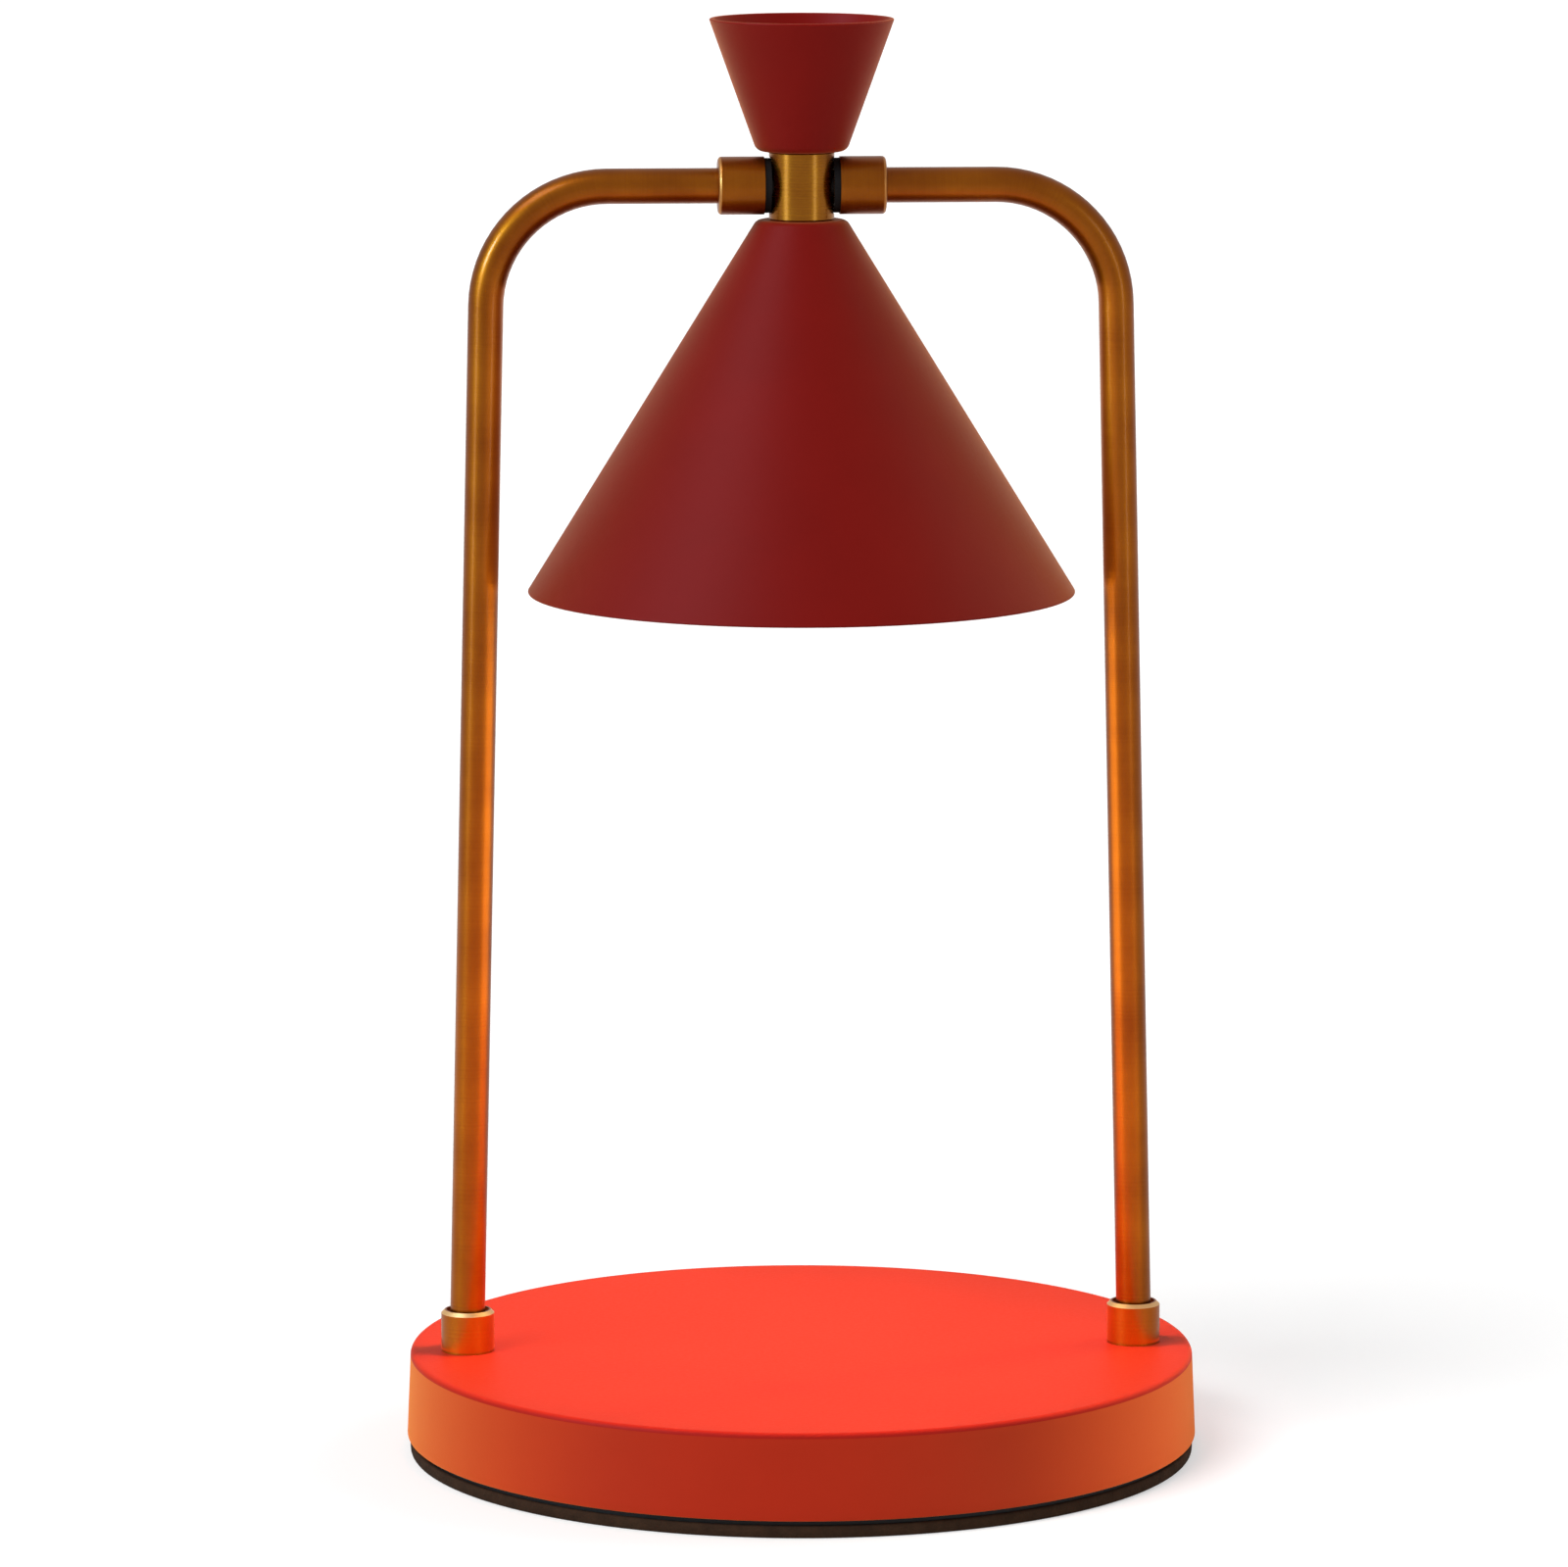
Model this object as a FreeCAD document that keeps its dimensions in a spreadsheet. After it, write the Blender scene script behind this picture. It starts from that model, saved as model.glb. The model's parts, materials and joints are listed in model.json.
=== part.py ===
import FreeCAD, Part
import math
import os
import Sketcher
from FreeCAD import Placement, Rotation, Vector

# Candle warmer lamp: a weighted round base, two bent tube arms and a head that tilts between them.
# Origin: centre of the pad's underside. +Z is up, the arms stand along X, the cord inlet is at +Y.
# Lengths are in millimetres, angles in degrees.

SIZES = (
    # base
    ("base_height", 23.6, "pad's underside to the base's top face"),
    ("base_radius", 90.0, "base at its top edge"),
    ("wall_flare", 0.85, "the base's wall leans out by this down to its lower edge"),
    ("base_edge_round", 1.2, "rounding of the base's top edge"),
    ("shell_skin", 1.2, "sheet of the base shell"),
    ("pad_height", 2.8, "foam pad"),
    ("pad_inset", 0.65, "foam pad inside the base's lower edge"),
    ("pad_hole_radius", 5.5, "screwdriver holes in the pad"),
    ("shadow_gap", 1.2, "open gap between the pad and the shell's edge"),
    ("cover_thickness", 2.0, "plate of the base cover"),
    ("cover_gap", 0.45, "gap between the base cover and the shell's lower edge"),
    ("cover_lip_width", 1.6, "upright lip round the cover"),
    ("cover_lip_height", 3.0, "upright lip round the cover"),
    ("rib_ring_inset", 20.0, "ring rib that carries the weight, inside the weight's rim"),
    ("rib_width", 2.0, "ribs of the cover"),
    ("spoke_height", 5.0, "radial ribs of the cover"),
    ("weight_gap", 4.5, "gap between the cast weight and the standoffs"),
    ("weight_thickness", 8.0, "cast weight"),
    ("weight_bore_radius", 7.0, "centre hole of the cast weight"),
    ("weight_chamfer", 0.8, "edges of the cast weight"),
    ("notch_gap", 2.0, "gap between the terminal block and the notch in the weight"),
    ("slip_gap", 0.4, "gap round parts that drop in by hand"),
    ("standoff_radius", 3.5, "round standoffs"),
    ("standoff_inset", 20.0, "standoffs from the base's edge"),
    ("cover_screw_radius", 1.6, "shank of the cover screws"),
    ("cover_screw_length", 10.0, "shank of the cover screws under the head"),
    ("cover_screw_head_radius", 3.8, "head of the cover screws"),
    ("cover_screw_head_height", 2.0, "head of the cover screws"),
    ("thread_gap", 0.05, "radial gap of screwed and pushed-on parts"),
    # cord inlet
    ("cord_radius", 3.1, "cord that the inlet takes"),
    ("grommet_lift", 1.0, "grommet flange over the cover's plate"),
    ("grommet_neck_radius", 4.6, "grommet in the wall"),
    ("grommet_flange_radius", 6.2, "grommet flanges"),
    ("grommet_flange", 1.5, "thickness of each grommet flange"),
    ("clamp_inset", 10.5, "cord clamp from the base's edge"),
    ("clamp_width", 24.0, "cord clamp across the cord"),
    ("clamp_depth", 6.0, "cord clamp along the cord"),
    ("clamp_bar_height", 4.4, "upper bar of the cord clamp"),
    ("clamp_screw_spacing", 16.0, "cord clamp screws"),
    ("small_screw_radius", 1.25, "shank of the small screws"),
    ("small_screw_length", 8.0, "shank of the small screws under the head"),
    ("small_head_radius", 2.4, "head of the small screws"),
    ("small_head_height", 1.5, "head of the small screws"),
    # terminal block
    ("block_length", 17.0, "terminal block along its wires"),
    ("block_width", 16.0, "terminal block across its wires"),
    ("block_height", 10.5, "terminal block"),
    ("block_gap", 15.85, "terminal block's outer end from the arm's axis"),
    ("wire_way_reach", 4.8, "wire ways from the terminal block's middle"),
    ("wire_way_height", 4.2, "wire ways over the cover"),
    # arms
    ("tube_radius", 4.0, "arm tube, outside"),
    ("tube_wall", 1.0, "arm tube"),
    ("arm_inset", 13.15, "arm's foot from the base's edge"),
    ("arm_lean", 1.33, "inward lean of the arm's leg"),
    ("arm_tail", 1.2, "arm below its foot nut"),
    ("leg_start", 0.55, "upright part of the leg over the foot collar's bore"),
    ("leg_bend_radius", 60.0, "slight bend above the foot collar"),
    ("arm_bend_radius", 27.5, "centre line of the arm's main bend"),
    ("foot_collar_radius", 6.1, "foot collar"),
    ("foot_collar_height", 9.65, "foot collar"),
    ("foot_collar_chamfer", 0.8, "top edge of the foot collar"),
    ("foot_lip", 0.4, "flat lip round the recess in the foot collar's top"),
    ("foot_recess_depth", 0.8, "recess in the foot collar's top"),
    ("foot_washer_radius", 8.0, "washer under the shell"),
    ("foot_washer_thickness", 1.2, "washer under the shell"),
    ("foot_nut_flats", 13.0, "foot nut across flats"),
    ("foot_nut_height", 5.0, "foot nut"),
    # tilt joint
    ("pivot_height", 291.4, "tilt axis"),
    ("hub_radius", 7.4, "hub"),
    ("hub_height", 15.5, "hub"),
    ("hub_chamfer", 0.35, "end edges of the hub"),
    ("hub_chamber_radius", 4.3, "wire chamber in the hub"),
    ("hub_flat_depth", 0.4, "spot face for the friction washer"),
    ("spot_gap", 0.35, "spot face radius over the washer's radius"),
    ("tilt_gap", 0.05, "running gap at the friction washer's face"),
    ("washer_radius", 6.2, "friction washer"),
    ("washer_thickness", 1.5, "friction washer"),
    ("stud_radius", 3.5, "pivot stud"),
    ("stud_bore_radius", 2.0, "pivot stud"),
    ("stud_tip", 0.6, "pivot stud inside the hub's wire chamber"),
    ("stud_run_gap", 0.05, "radial running gap of the stud in the hub"),
    ("pivot_collar_radius", 6.55, "pivot collar"),
    ("pivot_collar_length", 10.45, "pivot collar"),
    ("pivot_collar_round", 0.9, "outer end of the pivot collar"),
    ("collar_socket_depth", 6.8, "tube socket in the pivot collar"),
    ("end_gap", 0.2, "gap at the end of a socket"),
    ("grub_radius", 1.3, "grub screw in the pivot collar"),
    ("grub_inset", 3.4, "grub screw from the collar's outer end"),
    ("tilt_limit", 45.0, "tilt each way"),
    ("stop_slack", 1.5, "free angle left at the end of the tilt"),
    ("stop_screw_radius", 0.9, "stop screw"),
    ("stop_groove_depth", 0.8, "groove in the pivot stud"),
    ("stop_groove_gap", 0.2, "gap beside and under the stop screw"),
    # cones
    ("shade_neck_radius", 10.2, "top of the shade"),
    ("shade_rim_radius", 62.45, "rim of the shade"),
    ("shade_height", 84.8, "shade"),
    ("shade_wall", 1.0, "shade"),
    ("shade_shoulder", 2.0, "rounding at the shade's top"),
    ("cone_foot_radius", 10.2, "foot of the top cone"),
    ("cone_rim_radius", 20.95, "rim of the top cone"),
    ("cone_height", 29.9, "top cone"),
    ("cone_wall", 1.0, "top cone"),
    ("cone_shoulder", 2.2, "rounding at the top cone's foot"),
    ("rim_round", 0.3, "rim edges of both cones"),
    # nipples and nuts
    ("nipple_radius", 5.0, "lamp nipple"),
    ("nipple_bore_radius", 3.6, "lamp nipple"),
    ("nipple_gap", 0.3, "gap between the nipples' ends and the bore for the studs"),
    ("nipple_tail", 1.0, "nipple past its last nut"),
    ("lock_washer_radius", 7.8, "washers on the nipples"),
    ("lock_washer_thickness", 1.0, "washers on the nipples"),
    ("nut_flats", 13.8, "nuts on the nipples across flats"),
    ("shade_nut_height", 3.5, "nut under the shade's top"),
    ("bracket_nut_height", 3.0, "nut under the bracket"),
    ("top_nut_height", 4.0, "nut in the top cone"),
    # lampholder
    ("bracket_sheet", 1.2, "holder bracket"),
    ("bracket_width", 13.2, "holder bracket"),
    ("bracket_clear", 0.65, "gap between the bracket nut's corners and the legs"),
    ("bracket_drop", 7.6, "holder bracket, whole height"),
    ("bracket_foot", 4.6, "holder bracket's feet beyond the legs"),
    ("holder_end", 2.6, "lampholder beyond the holder screws"),
    ("holder_width", 17.0, "lampholder"),
    ("holder_height", 15.0, "lampholder"),
    ("holder_floor", 3.0, "ceramic under the pin chambers"),
    ("holder_screw_gap", 0.55, "gap between the holder screws' heads and the bracket's legs"),
    ("wire_well_radius", 3.4, "wire well in the lampholder's top"),
    ("wire_well_depth", 3.0, "wire well in the lampholder's top"),
    ("contact_thickness", 0.6, "holder contacts"),
    # bulb
    ("pin_spacing", 10.0, "bulb pins"),
    ("pin_head_radius", 2.5, "bulb pins"),
    ("pin_neck_radius", 1.5, "bulb pins"),
    ("pin_head_height", 3.0, "bulb pins"),
    ("pin_gap", 0.3, "gap round the bulb pins"),
    ("bulb_twist", 22.0, "turn that locks the bulb"),
    ("bulb_gap", 0.3, "gap between the bulb and the lampholder"),
    ("bulb_neck_radius", 11.5, "top of the bulb's ceramic base"),
    ("bulb_waist_radius", 13.5, "lower end of the bulb's ceramic base"),
    ("bulb_base_height", 16.0, "bulb's ceramic base"),
    ("bulb_shoulder_height", 5.3, "straight ends of the bulb's ceramic base"),
    ("bulb_height", 50.0, "bulb without its pins"),
    ("bulb_rim_radius", 25.0, "bulb's face"),
    ("bulb_rim_height", 4.0, "straight rim at the bulb's face"),
    ("bulb_glass", 1.6, "bulb's glass"),
    ("reflector_sweep", 46.0, "arc of the reflector's side"),
    ("capsule_radius", 5.0, "halogen capsule"),
    ("capsule_height", 18.0, "halogen capsule"),
    ("capsule_tip_radius", 2.0, "halogen capsule"),
    # leads
    ("lead_radius", 1.3, "flexible leads"),
    ("lead_straight", 0.4, "straight end of the head lead in the pivot stud"),
)

doc = FreeCAD.newDocument("CandleWarmerLamp")
sheet = doc.addObject("Spreadsheet::Sheet", "Sizes")
for row, (alias, amount, meaning) in enumerate(SIZES, start=1):
    sheet.set(f"A{row}", alias)
    sheet.set(f"B{row}", str(amount))
    sheet.set(f"C{row}", meaning)
    sheet.setAlias(f"B{row}", alias)
doc.recompute()

parts = []


def number(expression):
    return float(sheet.evalExpression(str(expression)))


# Levels, reaches and radii that follow from the sizes, written as expressions.
BASE_TOP = "Sizes.base_height"
BASE_FOOT = "(Sizes.base_radius + Sizes.wall_flare)"
SHELL_EDGE = "(Sizes.pad_height + Sizes.shadow_gap)"
SHELL_UNDER = "(Sizes.base_height - Sizes.shell_skin)"
WALL_DRAFT = f"(Sizes.wall_flare / ({BASE_TOP} - {SHELL_EDGE}))"
PAD_RADIUS = f"({BASE_FOOT} - Sizes.pad_inset)"
COVER_RADIUS = f"({BASE_FOOT} - Sizes.shell_skin - Sizes.cover_gap)"
COVER_TOP = "(Sizes.pad_height + Sizes.cover_thickness)"
STANDOFF_REACH = "(Sizes.base_radius - Sizes.standoff_inset)"
STANDOFF_ACROSS = f"({STANDOFF_REACH} * cos(45))"
SMALL_SCREW_HOLE = "(Sizes.small_screw_radius + Sizes.thread_gap)"
CORD_LEVEL = f"({COVER_TOP} + Sizes.grommet_flange_radius + Sizes.grommet_lift)"
CLAMP_REACH = "(Sizes.base_radius - Sizes.clamp_inset)"
CLAMP_NEAR = f"({CLAMP_REACH} - Sizes.clamp_depth / 2)"
CLAMP_FAR = f"({CLAMP_REACH} + Sizes.clamp_depth / 2)"
WEIGHT_UNDER = f"({SHELL_UNDER} - Sizes.weight_thickness)"
WEIGHT_RADIUS = f"({STANDOFF_REACH} - Sizes.standoff_radius - Sizes.weight_gap)"
RIB_RING_OUT = f"({WEIGHT_RADIUS} - Sizes.rib_ring_inset)"
ARM_REACH = "(Sizes.base_radius - Sizes.arm_inset)"
WASHER_UNDER = f"({SHELL_UNDER} - Sizes.foot_washer_thickness)"
FOOT_NUT_UNDER = f"({WASHER_UNDER} - Sizes.foot_nut_height)"
ARM_END = f"({FOOT_NUT_UNDER} - Sizes.arm_tail)"
FOOT_BORE_TOP = f"({BASE_TOP} + Sizes.foot_collar_height - Sizes.foot_recess_depth)"
BLOCK_OUTER = f"({ARM_REACH} - Sizes.block_gap)"
BLOCK_INNER = f"({BLOCK_OUTER} - Sizes.block_length)"
BLOCK_MIDDLE = f"(-{BLOCK_OUTER} + Sizes.block_length / 2)"
WIRE_LEVEL = f"({COVER_TOP} + Sizes.wire_way_height)"
TUBE_HOLE = "(Sizes.tube_radius + Sizes.thread_gap)"
HUB_FLAT = "(Sizes.hub_radius - Sizes.hub_flat_depth)"
COLLAR_INNER = f"({HUB_FLAT} + Sizes.tilt_gap + Sizes.washer_thickness)"
COLLAR_OUTER = f"({COLLAR_INNER} + Sizes.pivot_collar_length)"
COLLAR_SOCKET = f"({COLLAR_OUTER} - Sizes.collar_socket_depth)"
TUBE_END = f"({COLLAR_SOCKET} + Sizes.end_gap)"
STUD_TIP = "(Sizes.hub_chamber_radius - Sizes.stud_tip)"
STUD_HOLE = "(Sizes.stud_radius + Sizes.stud_run_gap)"
STOP_SCREW_REACH = "(Sizes.hub_chamber_radius + Sizes.stop_screw_radius)"
NIPPLE_GRIP = f"(Sizes.hub_height / 2 - {STUD_HOLE} - Sizes.nipple_gap)"
LEAD_END = f"({STUD_TIP} - Sizes.end_gap)"
HEAD_LEAD_END = f"({LEAD_END} - Sizes.end_gap)"
SHADE_TOP = "(Sizes.pivot_height - Sizes.hub_height / 2)"
SHADE_RIM = f"({SHADE_TOP} - Sizes.shade_height)"
CONE_FOOT = "(Sizes.pivot_height + Sizes.hub_height / 2)"
CONE_RIM = f"({CONE_FOOT} + Sizes.cone_height)"
NIPPLE_HOLE = "(Sizes.nipple_radius + Sizes.thread_gap)"
SHADE_NUT_TOP = f"({SHADE_TOP} - Sizes.shade_wall - Sizes.lock_washer_thickness)"
BRACKET_TOP = f"({SHADE_NUT_TOP} - Sizes.shade_nut_height)"
BRACKET_NUT_TOP = f"({BRACKET_TOP} - Sizes.bracket_sheet)"
LOWER_NIPPLE_END = f"({BRACKET_NUT_TOP} - Sizes.bracket_nut_height - Sizes.nipple_tail)"
TOP_WASHER_UNDER = f"({CONE_FOOT} + Sizes.cone_wall)"
TOP_NUT_UNDER = f"({TOP_WASHER_UNDER} + Sizes.lock_washer_thickness)"
UPPER_NIPPLE_END = f"({TOP_NUT_UNDER} + Sizes.top_nut_height + Sizes.nipple_tail)"
BRACKET_SPAN = "(Sizes.nut_flats / 2 / cos(30) + Sizes.bracket_clear + Sizes.bracket_sheet)"
HOLDER_HEAD = "(Sizes.small_head_radius - Sizes.slip_gap)"
HOLDER_SCREW_REACH = f"({BRACKET_SPAN} + Sizes.holder_screw_gap + {HOLDER_HEAD})"
HOLDER_END = f"({HOLDER_SCREW_REACH} + Sizes.holder_end)"
HOLDER_TOP = f"({BRACKET_TOP} - Sizes.bracket_drop)"
HOLDER_UNDER = f"({HOLDER_TOP} - Sizes.holder_height)"
CHAMBER_FLOOR = f"({HOLDER_UNDER} + Sizes.holder_floor)"
PIN_REACH = "(Sizes.pin_spacing / 2)"
PIN_SHOULDER = f"({CHAMBER_FLOOR} + Sizes.pin_gap)"
PIN_TOP = f"({PIN_SHOULDER} + Sizes.pin_head_height)"
BULB_TOP = f"({HOLDER_UNDER} - Sizes.bulb_gap)"
BULB_WAIST = f"({BULB_TOP} - Sizes.bulb_base_height)"
BULB_FACE = f"({BULB_TOP} - Sizes.bulb_height)"
BULB_RIM_TOP = f"({BULB_FACE} + Sizes.bulb_rim_height)"

# How often round the lamp's axis a feature is repeated.
PAIR = 2
STANDOFFS = 4
SPOKES = 8


def new_body(name):
    body = doc.addObject("PartDesign::Body", name)
    body.Label = name
    parts.append(body)
    return body


def datum(body, role):
    return [feature for feature in body.Origin.OriginFeatures if feature.Role == role][0]


def new_sketch(body, role, offset=None):
    """A sketch on one of the body's own planes, moved along the plane's normal."""
    sketch = body.newObject("Sketcher::SketchObject", f"{body.Name}_sketch")
    sketch.AttachmentSupport = [(datum(body, role), "")]
    sketch.MapMode = "FlatFace"
    if offset is not None:
        sketch.setExpression("AttachmentOffset.Base.z", offset)
    return sketch


def pin_point(sketch, geometry, end, across, up):
    """Ties one point of a sketch to its distances from the sketch's origin."""
    for kind, expression in (("DistanceX", across), ("DistanceY", up)):
        constraint = Sketcher.Constraint(kind, -1, 1, geometry, end, number(expression))
        index = sketch.addConstraint(constraint)
        sketch.setExpression(f"Constraints[{index}]", str(expression))


def pin_radius(sketch, geometry, radius):
    index = sketch.addConstraint(Sketcher.Constraint("Radius", geometry, number(radius)))
    sketch.setExpression(f"Constraints[{index}]", radius)


def arc_between(start, end, radius):
    """Arc from start to end; a positive radius bulges to the right of the way from start to end."""
    chord = end - start
    side = Vector(chord.y, -chord.x, 0).normalize()
    rise = abs(radius) - math.sqrt(radius**2 - chord.Length**2 / 4)
    middle = (start + end) * 0.5 + side * math.copysign(rise, radius)
    return Part.Arc(start, middle, end)


def draw_outline(sketch, corners, closed=True):
    """Outline through (across, up) corners; a third entry makes the next side an arc of that radius."""
    spots = [Vector(number(corner[0]), number(corner[1]), 0) for corner in corners]
    first = sketch.GeometryCount
    sides = len(corners) if closed else len(corners) - 1
    near_ends = []
    far_ends = []
    for index in range(sides):
        start, end = spots[index], spots[(index + 1) % len(corners)]
        if len(corners[index]) == 3:
            radius = corners[index][2]
            sketch.addGeometry(arc_between(start, end, number(radius)), False)
            pin_radius(sketch, first + index, radius.lstrip("-"))
            # a sketch keeps every arc anticlockwise, so one that bulges left starts at its far end
            swapped = number(radius) < 0
        else:
            sketch.addGeometry(Part.LineSegment(start, end), False)
            swapped = False
        near_ends.append(2 if swapped else 1)
        far_ends.append(1 if swapped else 2)
        pin_point(sketch, first + index, near_ends[index], corners[index][0], corners[index][1])
    for index in range(sides if closed else sides - 1):
        after = (index + 1) % sides
        joint = (first + index, far_ends[index], first + after, near_ends[after])
        sketch.addConstraint(Sketcher.Constraint("Coincident", *joint))
    if not closed:
        pin_point(sketch, first + sides - 1, far_ends[-1], corners[-1][0], corners[-1][1])


def draw_circle(sketch, across, up, radius):
    centre = Vector(number(across), number(up), 0)
    circle = sketch.addGeometry(Part.Circle(centre, Vector(0, 0, 1), number(radius)), False)
    pin_point(sketch, circle, 3, across, up)
    pin_radius(sketch, circle, radius)


def draw_box(sketch, left, low, right, high):
    draw_outline(sketch, ((left, low), (right, low), (right, high), (left, high)))


def turn(body, corners, axis="V_Axis", kind="Revolution", role="XZ_Plane", angle=None):
    """Revolves an outline about the sketch's upright (V_Axis) or level (H_Axis) axis."""
    sketch = new_sketch(body, role)
    draw_outline(sketch, corners)
    feature = body.newObject(f"PartDesign::{kind}", f"{body.Name}_{kind.lower()}")
    feature.Profile = sketch
    feature.ReferenceAxis = (sketch, [axis])
    if angle is None:
        feature.Angle = 360
    else:
        feature.setExpression("Angle", angle)
    return feature


def pad(body, sketch, length, downward=False):
    feature = body.newObject("PartDesign::Pad", f"{body.Name}_pad")
    feature.Profile = sketch
    feature.setExpression("Length", length)
    feature.Reversed = downward
    return feature


def cut(body, sketch, length=None, along_normal=True, both_ways=False):
    """Pocket from the sketch, along its plane's normal or against it; no length means right through."""
    feature = body.newObject("PartDesign::Pocket", f"{body.Name}_pocket")
    before = feature.BaseFeature
    feature.Profile = sketch
    feature.Reversed = along_normal
    if both_ways:
        feature.Midplane = True
    if length is None:
        feature.Type = "ThroughAll"
    else:
        feature.setExpression("Length", length)
    doc.recompute()
    if before is not None and feature.Shape.Volume > before.Shape.Volume - 1e-6:
        raise RuntimeError(f"{feature.Name} cuts nothing")
    return feature


def repeat_round(body, originals, count):
    """Copies features about the lamp's axis."""
    doc.recompute()
    pattern = body.newObject("PartDesign::PolarPattern", f"{body.Name}_pattern")
    pattern.Originals = originals
    pattern.Axis = (datum(body, "Z_Axis"), [""])
    pattern.Angle = 360
    pattern.Occurrences = count
    body.Tip = pattern
    return pattern


def round_rings(body, radius, rings, kind="Fillet"):
    """Rounds or chamfers the circular edges whose (radius, centre) match one of the rings."""
    doc.recompute()
    base = body.Tip
    wanted = [(number(ring), Vector(*[number(part) for part in centre])) for ring, centre in rings]
    names = []
    for index, edge in enumerate(base.Shape.Edges, start=1):
        if not isinstance(edge.Curve, Part.Circle):
            continue
        for ring, centre in wanted:
            if abs(edge.Curve.Radius - ring) < 1e-3 and edge.Curve.Center.distanceToPoint(centre) < 1e-3:
                names.append(f"Edge{index}")
    if len(names) < len(rings):
        raise RuntimeError(f"{body.Name}: {len(rings)} rings wanted, {len(names)} edges found")
    feature = body.newObject(f"PartDesign::{kind}", f"{body.Name}_{kind.lower()}")
    feature.Base = (base, names)
    feature.setExpression("Radius" if kind == "Fillet" else "Size", radius)
    return feature


def put(body, **axes):
    """Places a body by expressions for x, y or z."""
    for axis, expression in axes.items():
        body.setExpression(f"Placement.Base.{axis}", expression)


def ring(name, inner, outer, under, over):
    """A plain washer, sleeve or disc about the lamp's axis."""
    body = new_body(name)
    corners = ((inner, under), (outer, under), (outer, over), (inner, over))
    turn(body, corners)
    return body


def hexagon(sketch, across, up, flats):
    """A hexagon with two corners on the line through its centre along the sketch's first axis."""
    corner = f"({flats} / 2 / cos(30))"
    corners = []
    for step in range(6):
        angle = 60 * step
        corners.append((f"{across} + {corner} * cos({angle})", f"{up} + {corner} * sin({angle})"))
    draw_outline(sketch, corners)


def nut(name, across, flats, height, under, bore, copies=1):
    """A hexagon nut that stands on the level under, at a distance from the lamp's axis."""
    body = new_body(name)
    sketch = new_sketch(body, "XY_Plane", under)
    hexagon(sketch, across, "0", flats)
    draw_circle(sketch, across, "0", bore)
    feature = pad(body, sketch, height)
    if copies > 1:
        repeat_round(body, [feature], copies)
    return body


def screw(body, across, up, shank, head, head_height, length, seat, head_down):
    """A round-headed screw along Z with its head's seat on a level."""
    head_sketch = new_sketch(body, "XY_Plane", seat)
    draw_circle(head_sketch, across, up, head)
    shank_sketch = new_sketch(body, "XY_Plane", seat)
    draw_circle(shank_sketch, across, up, shank)
    return [
        pad(body, head_sketch, head_height, downward=head_down),
        pad(body, shank_sketch, length, downward=not head_down),
    ]


def make_base_shell():
    body = new_body("base_shell")
    skin = "Sizes.shell_skin"
    turn(
        body,
        (
            ("0", SHELL_UNDER),
            (f"Sizes.base_radius - {skin} + {WALL_DRAFT} * {skin}", SHELL_UNDER),
            (f"{BASE_FOOT} - {skin}", SHELL_EDGE),
            (BASE_FOOT, SHELL_EDGE),
            ("Sizes.base_radius", BASE_TOP),
            ("0", BASE_TOP),
        ),
    )
    round_rings(body, "Sizes.base_edge_round", [("Sizes.base_radius", ("0", "0", BASE_TOP))])
    arm_holes = new_sketch(body, "XY_Plane", BASE_TOP)
    for side in ("-", ""):
        draw_circle(arm_holes, f"{side}{ARM_REACH}", "0", TUBE_HOLE)
    cut(body, arm_holes, "2 * Sizes.shell_skin", along_normal=False)
    inlet = new_sketch(body, "XZ_Plane")
    draw_circle(inlet, "0", CORD_LEVEL, "Sizes.grommet_neck_radius + Sizes.thread_gap")
    cut(body, inlet, along_normal=False)


def draw_clamp_box(sketch):
    draw_box(sketch, "-Sizes.clamp_width / 2", CLAMP_NEAR, "Sizes.clamp_width / 2", CLAMP_FAR)


def draw_clamp_holes(sketch):
    for side in ("-", ""):
        across = f"{side}Sizes.clamp_screw_spacing / 2"
        draw_circle(sketch, across, CLAMP_REACH, SMALL_SCREW_HOLE)


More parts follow.
